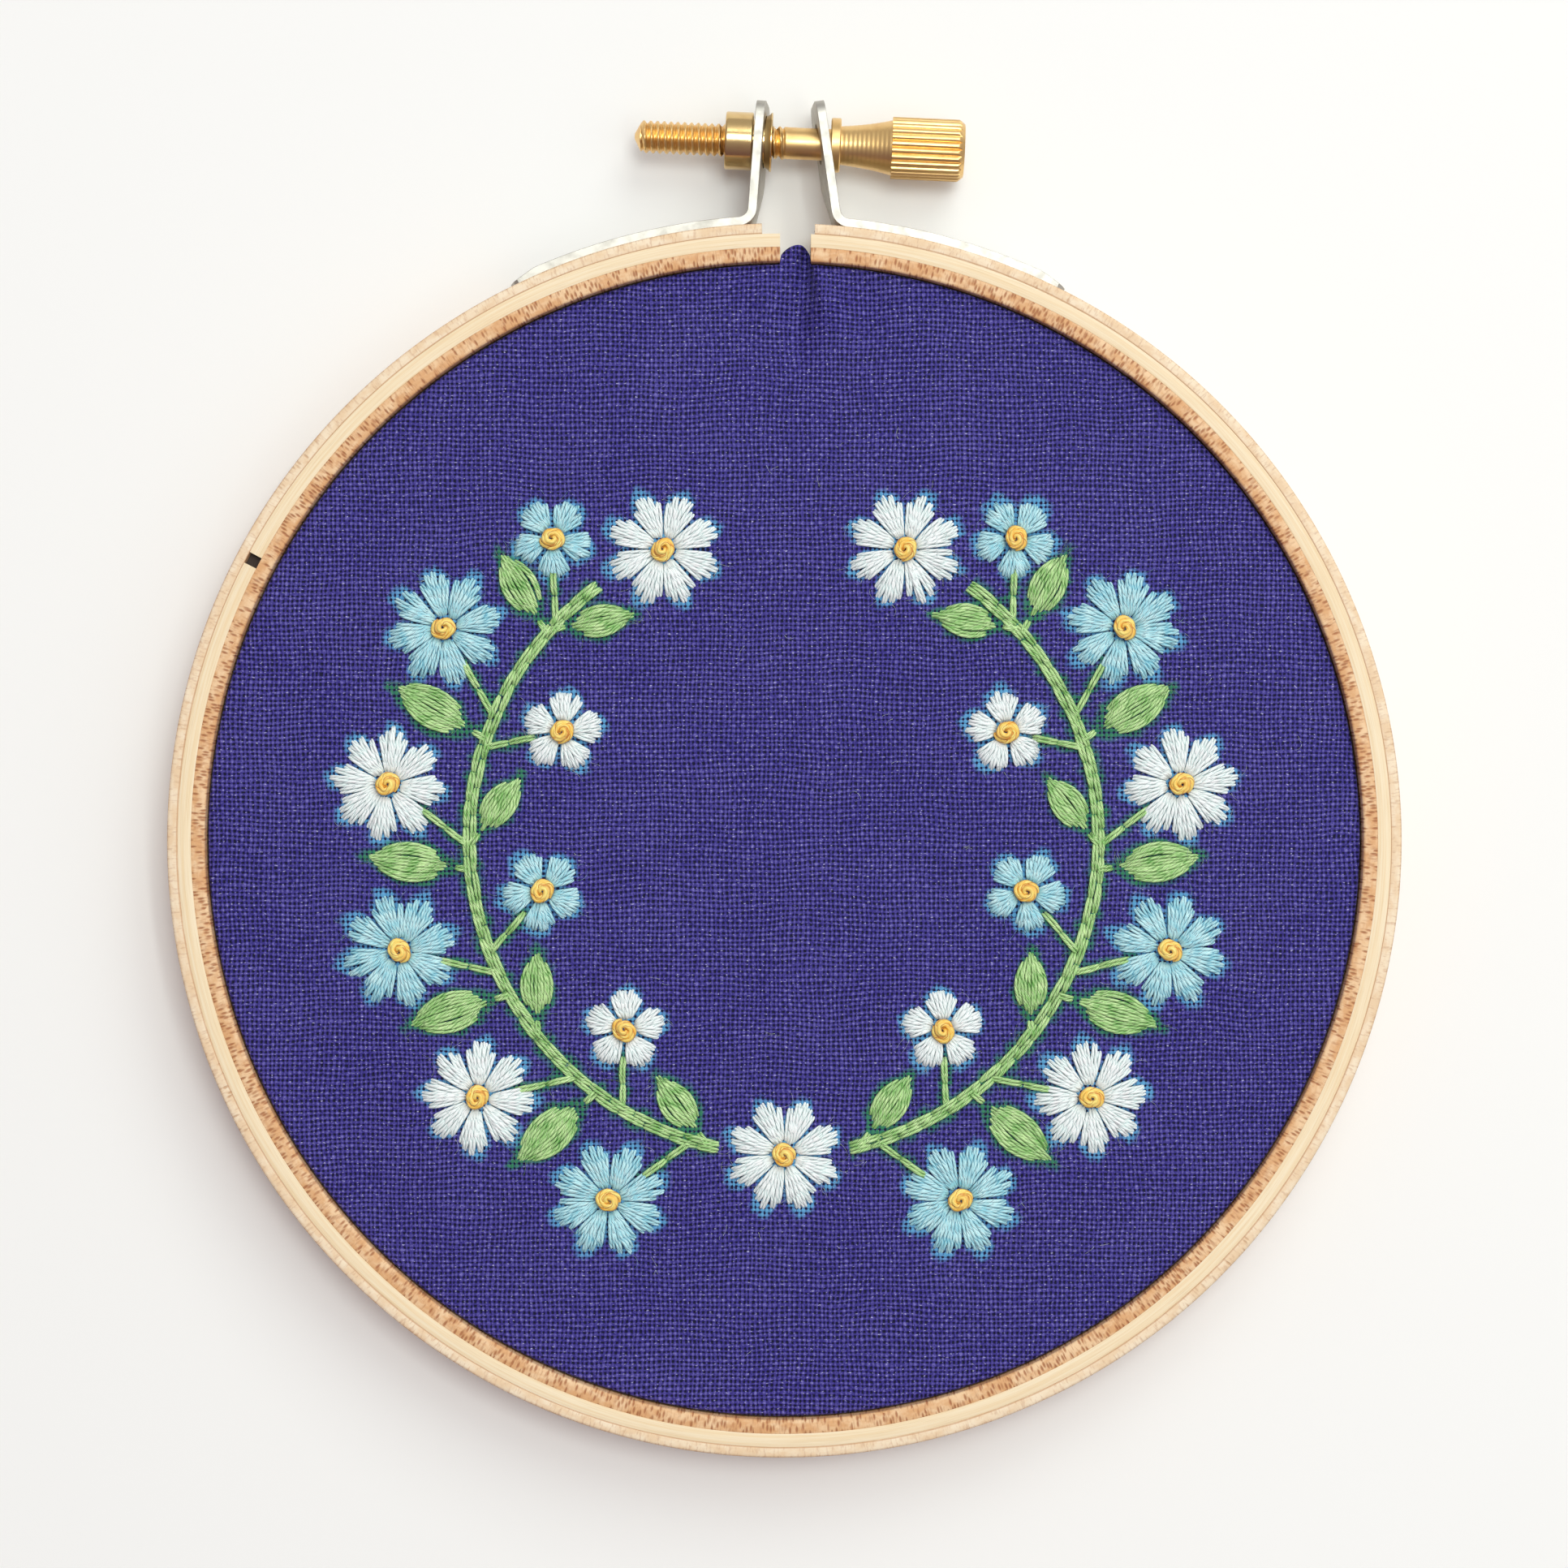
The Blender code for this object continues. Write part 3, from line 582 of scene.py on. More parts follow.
# ---- cloth ----
cloth = {
    "radius": 51.27,
    "rimRound": 0.4,
    "thick": 0.95,
    "hemThick": 0.45,
    "bottom": 0.5,
    "angles": 780,
    "bulgeX": 1.4,
    "bulgeHalfWidths": (1.9, 1.05),
    "bulgeBetween": (-0.42, 2.46),
    "bulge": 1.75,
    "creaseFrom": (1.85, 52.3),
    "creaseTo": (2.1, 47.2),
    "creaseDepth": 1.1,
    "creaseWidth": 0.42,
    # inner and outer radius and count of the rows on top, then radius and height of the rows underneath
    "rows": ((0.8, 17.4, 8), (18, 42, 54), (42.4, 50.4, 30)),
    "under": ((50.1, 6.75), *((radius, 6.65) for radius in (49.6, 48.0, 43.0, 34.0, 24.0, 12.0, 0.8))),
    # broad folds beside the crease: depth, place, half width, half length
    "folds": (
        (1.0, 3.7, 48.2, 1.2, 2.8),
        (-1.05, 1.1, 46.4, 1.2, 3.4),
        (0.4, -1.6, 48.0, 1.2, 2.8),
        (-0.6, 7.2, 47.8, 1.6, 2.4),
    ),
    "pucker": 0.06,
    "inkWidth": 0.3,
    "flatRadius": 58.0,
}


# Distance from points (n, 2) to the segment between two points, and the share of it where they are nearest
def segmentDistance(points, start, stop):
    line = np.asarray(stop) - start
    share = np.clip(((points - start) @ line) / (line @ line), 0, 1)
    return np.linalg.norm(points - start - share[:, None] * line, axis=1), share


# How far each point is outside the nearest petals, and the nearest leaf or stem, in mm. With an offset of 1 each
# outline is a little off its stitches, as a drawn one is.
def motifDistances(points, offset):
    petals = np.full(len(points), 99.0)
    greens = np.full(len(points), 99.0)
    drift = np.random.default_rng(5)
    for _, kind, _, centre, turn in blooms:
        away = points - centre - offset * drift.normal(0, 0.12, 2)
        outline = petalRadius(kind, np.arctan2(away[:, 1], away[:, 0]) - turn)
        petals = np.minimum(petals, np.hypot(*away.T) - outline - offset * drift.uniform(0.0, 0.15))
    for _, root, direction, length in leaves:
        away = points - root - direction * wreath["leafStalk"] - offset * drift.normal(0, 0.1, 2)
        share = away @ direction / length
        beside = np.abs(away @ np.array((-direction[1], direction[0])))
        beyond = np.maximum(0, np.maximum(-share, share - 1)) * length
        greens = np.minimum(greens, np.hypot(np.maximum(beside - leafHalfWidth(length, share), 0), beyond))
    turn = np.degrees(np.arctan2(points[:, 1], np.abs(points[:, 0])))
    first, last = wreath["stem"]
    beyondEnds = np.where((turn > first) & (turn < last), 0, 99)
    onStem = np.abs(np.hypot(*points.T) - hoop["wreathRadius"]) + beyondEnds
    greens = np.minimum(greens, onStem - 0.5)
    for pair in stalks["left"] + stalks["right"]:
        greens = np.minimum(greens, segmentDistance(points, *pair)[0] - 0.2)
    return petals, greens


# The sheet in one closed grid: out along the top, over the rim, down between the rings, back up inside and in along
# the underside. Angles crowd together at the split, where the sheet bulges out as cos^0.45 between the sawn ends and a
# creased valley, a Gaussian across a line, runs inwards. Broad folds are Gaussians of the distance from their middle.
def clothGrid():
    c = cloth
    turn = np.linspace(0, 2 * np.pi, 20001)
    split = math.pi * 1.5 + 0.03
    gap = np.angle(np.exp(1j * (turn - split)))
    share = np.cumsum(1 + 11 * np.exp(-((gap / 0.06) ** 2)))
    share = (share - share[0]) / (share[-1] - share[0])
    angle = -np.interp(np.arange(c["angles"]) / c["angles"], share, turn)
    flat = join([np.linspace(*row) for row in c["rows"]])
    underRadius, underHeight = np.array(c["under"]).T
    rim = np.linspace(0, np.pi / 2, 7)[1:]
    top = hoop["clothTop"]
    rimRadius = c["radius"] - c["rimRound"] * (1 - np.sin(rim))
    rimHeight = top - c["rimRound"] * (1 - np.cos(rim))
    down = np.linspace(top - c["rimRound"], c["bottom"], 9)[1:]
    radius = join((flat, rimRadius, np.full(8, c["radius"])))
    height = join((np.full(len(flat), top), rimHeight, down))
    hem = smoothStep(top - 1 - down, 0, 5)
    thick = c["thick"] + (c["hemThick"] - c["thick"]) * hem
    radius = join((radius, (c["radius"] - thick)[::-1], underRadius))
    height = join((height, down[::-1], underHeight))
    depth = np.clip((top - 1.2 - height) / 5.5, 0, 1) * (radius > 49)
    wave = sum(0.33 * np.sin(count * angle + start) for count, start in ((19, 0.4), (31, 1.7), (47, 2.9)))
    r = radius[:, None] - depth[:, None] ** 1.3 * (0.24 + 0.2 * wave)
    x, y = r * np.cos(angle), r * np.sin(angle)
    z = np.broadcast_to(height[:, None], r.shape).copy()
    across = (x - c["bulgeX"]) / np.where(x < c["bulgeX"], *c["bulgeHalfWidths"])
    profile = np.maximum(np.cos(np.pi / 2 * np.clip(across, -1, 1)), 0) ** 0.45 * (y > 0)
    low, high = c["bulgeBetween"]
    profile = profile * smoothStep(x, low, low + 0.16) * smoothStep(-x, -high, -high + 0.16)
    outwards = profile * smoothStep(r, 48.9, 50.9)
    y = y + c["bulge"] * outwards
    upper = (np.arange(len(radius)) < len(flat) + 6)[:, None]
    z = z - 0.2 * outwards * upper
    points = np.stack((x, y), 2).reshape(-1, 2)
    away, share = segmentDistance(points, np.array(c["creaseFrom"]), np.array(c["creaseTo"]))
    away, share = away.reshape(r.shape), share.reshape(r.shape)
    fade = 1 - share**1.6
    valley = -c["creaseDepth"] * fade * np.exp(-((away / (c["creaseWidth"] * (1 + share))) ** 2))
    ridges = 0.32 * fade * np.exp(-(((away - 1.05) / 0.5) ** 2))
    broad = sum(
        size * np.exp(-(((x - right) / wide) ** 2) - ((y - ahead) / long) ** 2)
        for size, right, ahead, wide, long in c["folds"]
    )
    z = z + (valley + ridges + broad * (r < 50.9)) * upper * (y > 0)
    petals, greens = motifDistances(points, 0.0)
    pulled = np.exp(-((np.maximum(petals, 0) / 0.7) ** 2)) + 0.6 * np.exp(-((np.maximum(greens, 0) / 0.6) ** 2))
    soft = 0.03 * (np.sin(0.31 * x + 0.8) * np.sin(0.27 * y + 1.9) + 0.5 * np.sin(0.83 * x - 0.5 * y))
    z = z - (c["pucker"] * pulled.reshape(r.shape) - soft * (r < 50)) * upper
    return np.stack((x, y, z), 2)


sheetGrid = clothGrid()
sheet = newStore()
addGrid(sheet, sheetGrid[None], caps=True)
groundCloth = makePiece("cotton_ground", sheet, (cottonWeave,), ("ground_cloth",), sharp=80)
everyPoint = join(sheet["points"])
petals, greens = motifDistances(everyPoint[:, :2], 1.0)
x, y, z = everyPoint.T
ragged = 0.14 * np.sin(x * 2.3 + 1.7 * np.sin(y * 1.9)) + 0.1 * np.sin(y * 4.1 + x)
onTop = z > hoop["clothTop"] - 0.4
for name, distance, strength in (("inkBlue", petals, 0.75), ("inkGreen", greens, 0.85)):
    amount = strength * smoothStep(-(distance - cloth["inkWidth"] - ragged), -0.16, 0.12) * onTop
    groundCloth.data.attributes.new(name, "FLOAT", "POINT").data.foreach_set("value", amount.astype(np.float32))
print("cloth made,", len(groundCloth.data.polygons), "faces")

# ---- steel plates ----
plates = {
    "thick": 0.8,
    "halfWidth": 3.15,
    "middleHeight": 4.15,
    "clearance": 0.06,
    "bend": 1.3,
    "top": 66.1,
    "corner": 1.3,
    "edgeRound": 0.05,
    "twist": 4,
    "endTaper": 2.5,
    "endThick": 0.4,
    # side, free end in degrees from the top, foot of the lug, its lean in degrees, its hole's radius
    "left": (-1, 26.2, 2.93, 4.4, 2.35),
    "right": (1, 27.0, 4.80, 8.1, 1.80),
}
screw = {
    "tip": (-13.4, 63.2),
    "height": 4.15,
    "tilt": 2.6,
    "root": 1.2,
    "crest": 1.46,
    "pitch": 0.61,
    "threadEnd": 13.7,
    "shank": 1.42,
    "collar": (17.6, 18.5, 2.43),
    "neck": (1.72, 2.46),
    "head": (23.1, 29.6, 2.78),
    "ridges": 26,
    "ridgeDepth": 0.27,
    "chamfer": 0.5,
}
tilt = math.radians(screw["tilt"])
screwAxis = np.array((math.cos(tilt), -math.sin(tilt), 0.0))
screwSide = np.cross(screwAxis, up)
screwOrigin = np.array((*screw["tip"], screw["height"]))


# Middle line of a plate: an arc on the ring, a bend tangent to both, a straight leaning lug
def platePath(side, freeEnd, foot, lean):
    lean = math.radians(lean)
    radius = hoop["outside"] + plates["clearance"] + plates["thick"] / 2
    lug = np.array((-side * math.sin(lean), math.cos(lean)))
    away = np.array((side * math.cos(lean), math.sin(lean)))
    footPoint = np.array((side * foot, hoop["outside"]))
    bendLine = footPoint + away * plates["bend"]
    along = bendLine @ lug
    reach = -along + math.sqrt(along**2 - bendLine @ bendLine + (radius + plates["bend"]) ** 2)
    middle = bendLine + lug * reach
    arcEnd = math.atan2(middle[1], middle[0])
    arc = np.linspace(math.pi / 2 - side * math.radians(freeEnd), arcEnd, 60)
    turnStart = arcEnd + math.pi
    sweep = (math.atan2(-away[1], -away[0]) - turnStart + math.pi) % (2 * math.pi) - math.pi
    bend = turnStart + sweep * np.linspace(0, 1, 15)[1:]
    bendPoints = middle + plates["bend"] * onCircle(bend)
    height = (plates["top"] - plates["thick"] / 2 * math.sin(lean) - footPoint[1]) / lug[1]
    stop = footPoint + lug * height
    length = np.linalg.norm(stop - bendPoints[-1])
    cornerRows = plates["corner"] * (1 - np.sin(np.linspace(0, np.pi / 2, 16)[1:]))
    fromEnd = join((np.linspace(length, plates["corner"], 10)[1:], cornerRows))
    return join((radius * onCircle(arc), bendPoints, stop - lug * fromEnd[:, None]))


# A rounded strip carried along the path, its width cut to round corners at the lug's end and its thickness thinned
# at the free end
def plateGrid(side, path):
    step = np.linalg.norm(np.diff(path, axis=0), axis=1)
    fromStart = join(((0,), np.cumsum(step)))
    fromEnd = fromStart[-1] - fromStart
    tangent = np.gradient(path, axis=0)
    tangent /= np.linalg.norm(tangent, axis=1)[:, None]
    left = np.stack((-tangent[:, 1], tangent[:, 0]), 1)
    inwards = np.sign((left * -path).sum(1))[0]
    c = plates["corner"]
    roundEnd = c - np.sqrt(np.maximum(c**2 - np.maximum(c - fromEnd, 0) ** 2, 0))
    roundStart = 0.9 - np.sqrt(np.maximum(0.9**2 - np.maximum(0.9 - fromStart - 0.02, 0) ** 2, 0))
    halfWidth = plates["halfWidth"] - roundEnd - roundStart
    thin = np.minimum(1, plates["endThick"] + (1 - plates["endThick"]) * fromStart / plates["endTaper"])
    half = plates["thick"] / 2 * thin
    shift = (plates["thick"] / 2 - half) * inwards
    e = plates["edgeRound"]
    section = roundedSection(-1, 1, -1, 1, (1e-6,) * 4, 3)
    corner = np.sign(section)
    turned = roundedSection(-1, 1, -1, 1, (1.0,) * 4, 3)
    # Corner arcs of radius e keep their size whatever the section's half sides are
    across = corner[:, 0] * (half[:, None] - e * 0.9) + turned[:, 0] * e * 0.9 + shift[:, None]
    height = corner[:, 1] * (halfWidth[:, None] - e) + turned[:, 1] * e
    flat = path[:, None] + left[:, None] * across[..., None]
    rise = np.clip((path[:, 1] - hoop["outside"] - plates["bend"]) / (2 * plates["bend"]), 0, 1)
    lean = side * math.tan(math.radians(plates["twist"])) * rise[:, None] * (plates["halfWidth"] - height)
    flat[..., 0] -= lean
    return join((flat, height[..., None] + plates["middleHeight"]), 2)[None]


# A surface turned about the screw's axis: a radius for each length along it from the tip, or a function of the turn
def turnedGrid(along, radius, columns):
    turn = np.linspace(0, 2 * np.pi, columns, endpoint=False)
    ring = up * np.cos(turn)[:, None] + screwSide * np.sin(turn)[:, None]
    radius = radius(turn) if callable(radius) else np.asarray(radius)[:, None]
    radius = np.broadcast_to(radius, (len(along), columns))
    return (screwOrigin + along[:, None, None] * screwAxis + radius[..., None] * ring)[None]


def cutHole(target, radius):
    bar = newStore()
    addGrid(bar, turnedGrid(np.array((0.0, 30.0)), (radius, radius), 64), caps=True)
    cutter = makePiece("holeBar", bar, (steel,))
    change = target.modifiers.new("hole", "BOOLEAN")
    change.operation = "DIFFERENCE"
    change.object = cutter
    change.solver = "EXACT"
    bpy.context.view_layer.update()
    cut = bpy.data.meshes.new_from_object(target.evaluated_get(bpy.context.evaluated_depsgraph_get()))
    target.modifiers.clear()
    target.data = cut
    cut.shade_smooth()
    cut.set_sharp_from_angle(angle=math.radians(12))
    bpy.data.objects.remove(cutter)


for word in ("left", "right"):
    side, freeEnd, foot, lean, hole = plates[word]
    strip = newStore()
    grid = plateGrid(side, platePath(side, freeEnd, foot, lean))
    addGrid(strip, grid, caps=True)
    plate = makePiece(f"steel_plate_{word}", strip, (steel,), (f"plate_{word}",))
    cutHole(plate, hole)
print("plates made")


# ---- brass screw and nut ----
# Thread: radius = root + (crest - root) wave(along / pitch - turn), a flat-topped triangle wave, inside the tip's cone
def threadRadius(along):
    root, end = screw["root"], screw["threadEnd"]

    def radius(turn):
        part = (along[:, None] / screw["pitch"] - turn / (2 * np.pi)) % 1
        wave = np.clip(1.35 * (1 - np.abs(2 * part - 1)) - 0.12, 0, 1)
        depth = (screw["crest"] - root) * smoothStep(-along, -end, -end + 0.5)[:, None]
        thread = root + depth * wave + (screw["shank"] - root) * smoothStep(along, end - 0.7, end)[:, None]
        cone = 0.25 + np.minimum(1.9 * along, 0.45 + 1.1 * along)[:, None]
        return np.minimum(thread, cone)

    return radius


# Knurl: radius = R - depth (1 - |cos(ridges turn / 2)| ^ 0.7), drawn in at both chamfers
def knurlRadius(along):
    start, stop, full = screw["head"]

    def radius(turn):
        ridge = screw["ridgeDepth"] * (1 - np.abs(np.cos(screw["ridges"] * turn / 2)) ** 0.7)
        near = np.minimum(along - start, stop - along)[:, None]
        inset = 0.4 * np.clip(1 - near / screw["chamfer"], 0, 1) * (along[:, None] > (start + stop) / 2)
        return np.minimum(full - ridge, full - inset - 0.02)

    return radius


body = newStore()
along = join(((0.0,), np.arange(0.04, screw["threadEnd"], screw["pitch"] / 9)))
addGrid(body, turnedGrid(along, threadRadius(along), 44), caps=True)
collarStart, collarEnd, collarRadius = screw["collar"]
headStart, headEnd, _ = screw["head"]
neckAlong = np.linspace(collarEnd, headStart, 80)
neckShare = (neckAlong - collarEnd) / (headStart - collarEnd)
neckThin, neckThick = screw["neck"]
neckRadius = neckThin + (neckThick - neckThin) * (0.55 * neckShare + 0.45 * neckShare**2.4)
neckRadius = neckRadius + 0.006 * np.sin(neckAlong * 2 * np.pi / 0.4)
# The shank and the collar as rows of length along and radius, with a small bevel at both of the collar's edges
shaft = np.array(
    (
        (screw["threadEnd"] - 0.1, screw["shank"]),
        (collarStart, screw["shank"]),
        (collarStart, collarRadius - 0.1),
        (collarStart + 0.1, collarRadius),
        (collarEnd - 0.1, collarRadius),
        (collarEnd, collarRadius - 0.1),
    )
)
shaft = join((shaft, np.stack((neckAlong, neckRadius), 1)))
addGrid(body, turnedGrid(shaft[:, 0], shaft[:, 1], 72), caps=True)
spans = ((headStart, headStart + 0.55, 5), (headStart + 0.7, headEnd - 0.7, 8), (headEnd - 0.55, headEnd, 5))
headAlong = join([np.linspace(*span) for span in spans])
addGrid(body, turnedGrid(headAlong, knurlRadius(headAlong), 300), caps=True)
makePiece("brass_screw", body, (brass,), ("tension_screw",), sharp=28)

nut = {
    # along the screw from its tip, radius
    "profile": (
        (8.13, 1.76), (8.13, 2.42), (8.17, 2.52), (8.27, 2.58), (8.32, 2.58), (10.45, 2.58),
        (10.5, 2.58), (10.6, 2.52), (10.63, 2.42), (10.63, 2.0), (11.66, 2.0), (11.7, 2.26),
        (11.84, 2.32), (12.06, 2.44), (12.22, 2.64), (12.32, 2.64), (12.36, 2.5), (12.36, 1.76),
    ),
    "columns": 96,
}  # fmt: skip
rows = np.array(nut["profile"])
ringed = newStore()
addGrid(ringed, turnedGrid(rows[:, 0], rows[:, 1], nut["columns"]), wrapRows=True)
makePiece("brass_nut", ringed, (nutBrass,), ("screw_nut",), sharp=35)
print("screw and nut made")

# ---- stitches ----
thread = {
    "strand": 0.16,  # radius
    "sides": 7,
    "rows": 11,
    "bury": 0.3,
}


# Each stitch is a pair of strands laid side by side that dive into the cloth at both ends:
# height = cloth - bury + lift (1 - |2t - 1| ^ 4), and the pair turns a little about its middle line
def stitchTubes(store, starts, stops, lifts, facing=1, rows=thread["rows"], sides=thread["sides"], bows=0.0):
    count = len(starts)
    t = 0.5 - 0.5 * np.cos(np.linspace(0, np.pi, rows))
    line = stops - starts
    length = np.linalg.norm(line, axis=1)
    ahead = line / length[:, None]
    beside = np.stack((-ahead[:, 1], ahead[:, 0]), 1)
    strand = thread["strand"]
    bow = bows + chance.normal(0, 0.035, count)
    arch = 1 - np.abs(2 * t - 1) ** 4
    base = (hoop["clothTop"] if facing == 1 else hoop["clothBack"]) - facing * thread["bury"]
    # The pair's middle line
    flat = starts[:, None] + line[:, None] * t[None, :, None]
    flat = flat + beside[:, None] * (bow[:, None] * np.sin(np.pi * t))[..., None]
    height = base + facing * (thread["bury"] + strand * 0.9 + lifts)[:, None] * arch
    for which in (-1, 1):
        turn = chance.normal(0, 0.25, (count, 1)) + chance.normal(0, 0.9, (count, 1)) * (t - 0.5)
        offset = which * strand * 0.98 * np.cos(turn) * (0.75 + 0.25 * arch)
        path = np.empty((count, len(t), 3))
        path[..., :2] = flat + beside[:, None] * offset[..., None]
        path[..., 2] = height + which * strand * 0.6 * np.sin(turn)
        size = strand * (0.75 + 0.25 * arch) * chance.uniform(0.92, 1.06, (count, 1))
        addTubes(store, path, size, sides=sides)


# A circle of its own radius round each point of each path, square to the path
def addTubes(store, path, radius, slot=0, sides=thread["sides"]):
    tangent = np.gradient(path, axis=1)
    tangent /= np.maximum(np.linalg.norm(tangent, axis=2), 1e-9)[..., None]
    beside = np.cross(up, tangent)
    beside /= np.maximum(np.linalg.norm(beside, axis=2), 1e-9)[..., None]
    above = np.cross(tangent, beside)
    turn = np.linspace(0, 2 * np.pi, sides, endpoint=False)
    ring = beside[:, :, None] * np.cos(turn)[:, None] + above[:, :, None] * np.sin(turn)[:, None]
    addGrid(store, path[:, :, None] + radius[:, :, None, None] * ring, caps=True, slot=slot)


petalStitches = {
    "large": {"stitches": 5, "spread": 0.7, "inner": 0.95, "narrow": 0.62},
    "small": {"stitches": 6, "spread": 0.68, "inner": 0.85, "narrow": 0.62},
}


# A petal is a fan of stitches from under the knot to the outline, its middle ones longest
def petalLines(kind, centre, turn):
    s = petalStitches[kind]
    petals = wreath[kind]["petals"]
    share = np.linspace(-1, 1, s["stitches"])
    lobe = s["spread"] * share * np.pi / petals
    angles = 2 * np.pi / petals * np.arange(petals)[:, None] + lobe
    angles = angles + chance.normal(0, 0.018, angles.shape)
    outer = petalRadius(kind, 0.78 * lobe) + chance.uniform(-0.2, 0.06, angles.shape)
    inner = s["inner"] + 0.22 * np.abs(share) + chance.uniform(-0.1, 0.1, angles.shape)
    innerAngles = 2 * np.pi / petals * np.arange(petals)[:, None] + lobe * s["narrow"]
    starts = centre + inner[..., None] * onCircle(innerAngles + turn)
    stops = centre + outer[..., None] * onCircle(angles + turn)
    lifts = 0.04 + 0.1 * (1 - np.abs(share)) + chance.uniform(0, 0.1, angles.shape)
    return starts.reshape(-1, 2), stops.reshape(-1, 2), lifts.reshape(-1)


knot = {
    "turns": 1.85,
    "outer": 0.77,
    "inner": 0.16,
    "strand": 0.235,
    "rows": 52,
    "bottom": 8.08,
    "rise": 0.46,
    "oval": 0.1,
}


# The knot of the eye: a pair of strands coiled inwards and up, then down into the middle
def knotTubes(store, centre, start):
    t = np.linspace(0, 1, knot["rows"])
    coil = start + 2 * np.pi * knot["turns"] * t
    for which in (-1, 1):
        radius = knot["outer"] - (knot["outer"] - knot["inner"]) * t**1.7 + which * 0.16 * (1 - 0.6 * t)
        radius = radius * (1 + knot["oval"] * np.cos(2 * (coil - 3 * start)) + 0.04 * np.sin(5 * coil + start))
        height = knot["bottom"] + knot["rise"] * np.sin(np.pi * np.clip(t * 0.9, 0, 1)) ** 0.8 - which * 0.07
        path = np.column_stack((centre + radius[:, None] * onCircle(coil), height))[None]
        size = knot["strand"] * (1 - 0.35 * smoothStep(t, 0.85, 1)) * (0.55 + 0.45 * smoothStep(t, 0, 0.06))
        addTubes(store, path, size[None], sides=8)


# Lines are cut into stitches of about one length each, end to end; a shift of half a stitch staggers a neighbour row
def runningLines(lines, shifts, length=2.5):
    starts, stops = [], []
    for points, shift in zip(lines, shifts):
        step = np.linalg.norm(np.diff(points, axis=0), axis=1)
        travelled = join(((0,), np.cumsum(step)))
        count = max(1, round(travelled[-1] / length))
        at = np.linspace(0, travelled[-1], count + 1)
        at[1:-1] += chance.uniform(-0.2, 0.2, count - 1) + shift
        cut = np.stack([np.interp(at, travelled, points[:, k]) for k in (0, 1)], 1)
        starts.append(cut[:-1])
        stops.append(cut[1:])
    starts, stops = join(starts), join(stops)
    ahead = (stops - starts) / np.linalg.norm(stops - starts, axis=1)[:, None]
    return starts - 0.07 * ahead, stops + 0.07 * ahead


# A leaf is filled with long stitches that bow out with its outline: each keeps its own share of the half width
def leafLines(root, direction, length):
    beside = np.array((-direction[1], direction[0]))
    count = max(5, round(length * wreath["leafWidth"] / 0.56))
    part = np.linspace(-0.9, 0.9, count) + chance.normal(0, 0.02, count)
    first = 0.03 + 0.16 * np.abs(part) + chance.uniform(-0.015, 0.02, count)
    last = 0.98 - 0.17 * np.abs(part) + chance.uniform(-0.03, 0.01, count)
    widths = [part * leafHalfWidth(length, share) for share in (first, (first + last) / 2, last)]
    origin = root + direction * wreath["leafStalk"]
    starts, stops = [
        origin + direction * (share * length)[:, None] + beside * (width * 0.9)[:, None]
        for share, width in ((first, widths[0]), (last, widths[2]))
    ]
    bows = widths[1] - 0.45 * (widths[0] + widths[2])
    return starts, stops, 0.06 + chance.uniform(0, 0.1, count), bows


colours = ("white", "blue", "green")
reverse = {name: newStore() for name in colours}
hairs = {name: [] for name in colours}


# Behind the cloth the thread crosses from the end of each stitch to the start of the next
def stitchReverse(colour, starts, stops):
    lifts = chance.uniform(0, 0.2, len(starts) - 1)
    stitchTubes(reverse[colour], stops[:-1], starts[1:], lifts, -1, rows=7, sides=5)


def makeStitches(name, store, colour, nodes=()):
    makePiece(name, store, (flossOf[colour],), nodes, sharp=70)


for nodeName, kind, colour, centre, turn in blooms:
    petalStore = newStore()
    starts, stops, lifts = petalLines(kind, centre, turn)
    stitchTubes(petalStore, starts, stops, lifts)
    stitchReverse(colour, starts, stops)
    makeStitches(nodeName.replace("flower", "petals"), petalStore, colour, (nodeName,))
    hairs[colour].append(join((stops, stops - 0.4 * (stops - starts))))
    eye = newStore()
    knotTubes(eye, centre, chance.uniform(0, 6.28))
    makeStitches(nodeName.replace("flower", "knot"), eye, "yellow")
for nodeName, root, direction, length in leaves:
    leafStore = newStore()
    starts, stops, lifts, bows = leafLines(root, direction, length)
    stitchTubes(leafStore, starts, stops, lifts, bows=bows)
    stitchReverse("green", starts, stops)
    makeStitches(nodeName.replace("leaf", "leaf_satin"), leafStore, "green", (nodeName,))
    hairs["green"].append(join((starts, stops)))
for side, word in ((-1, "left"), (1, "right")):
    # The stem is two rows of back stitches side by side
    turns = np.linspace(*wreath["stem"], 120)
    rows = [stemPoint(turns, side, hoop["wreathRadius"] + beside) for beside in (-0.29, 0.29)]
    shifts = [0.6, -0.6] + [0.0] * len(stalks[word])
    starts, stops = runningLines(rows + [np.array(pair) for pair in stalks[word]], shifts)
    stemStore = newStore()
    stitchTubes(stemStore, starts, stops, 0.03 + chance.uniform(0, 0.06, len(starts)))
    makeStitches(f"stem_backstitch_{word}", stemStore, "green", (f"stem_{word}",))
    hairs["green"].append(starts)
    near = np.linalg.norm(starts[1:] - stops[:-1], axis=1) < 1
    back = starts[1:][near] + 1.2 * (stops[1:][near] - starts[1:][near])
    lifts = chance.uniform(0, 0.15, near.sum())
    stitchTubes(reverse["green"], starts[:-1][near], back, lifts, -1, rows=7, sides=5)
for colour, store in reverse.items():
    makeStitches(f"reverse_stitches_{colour}", store, colour)
print("stitches made")


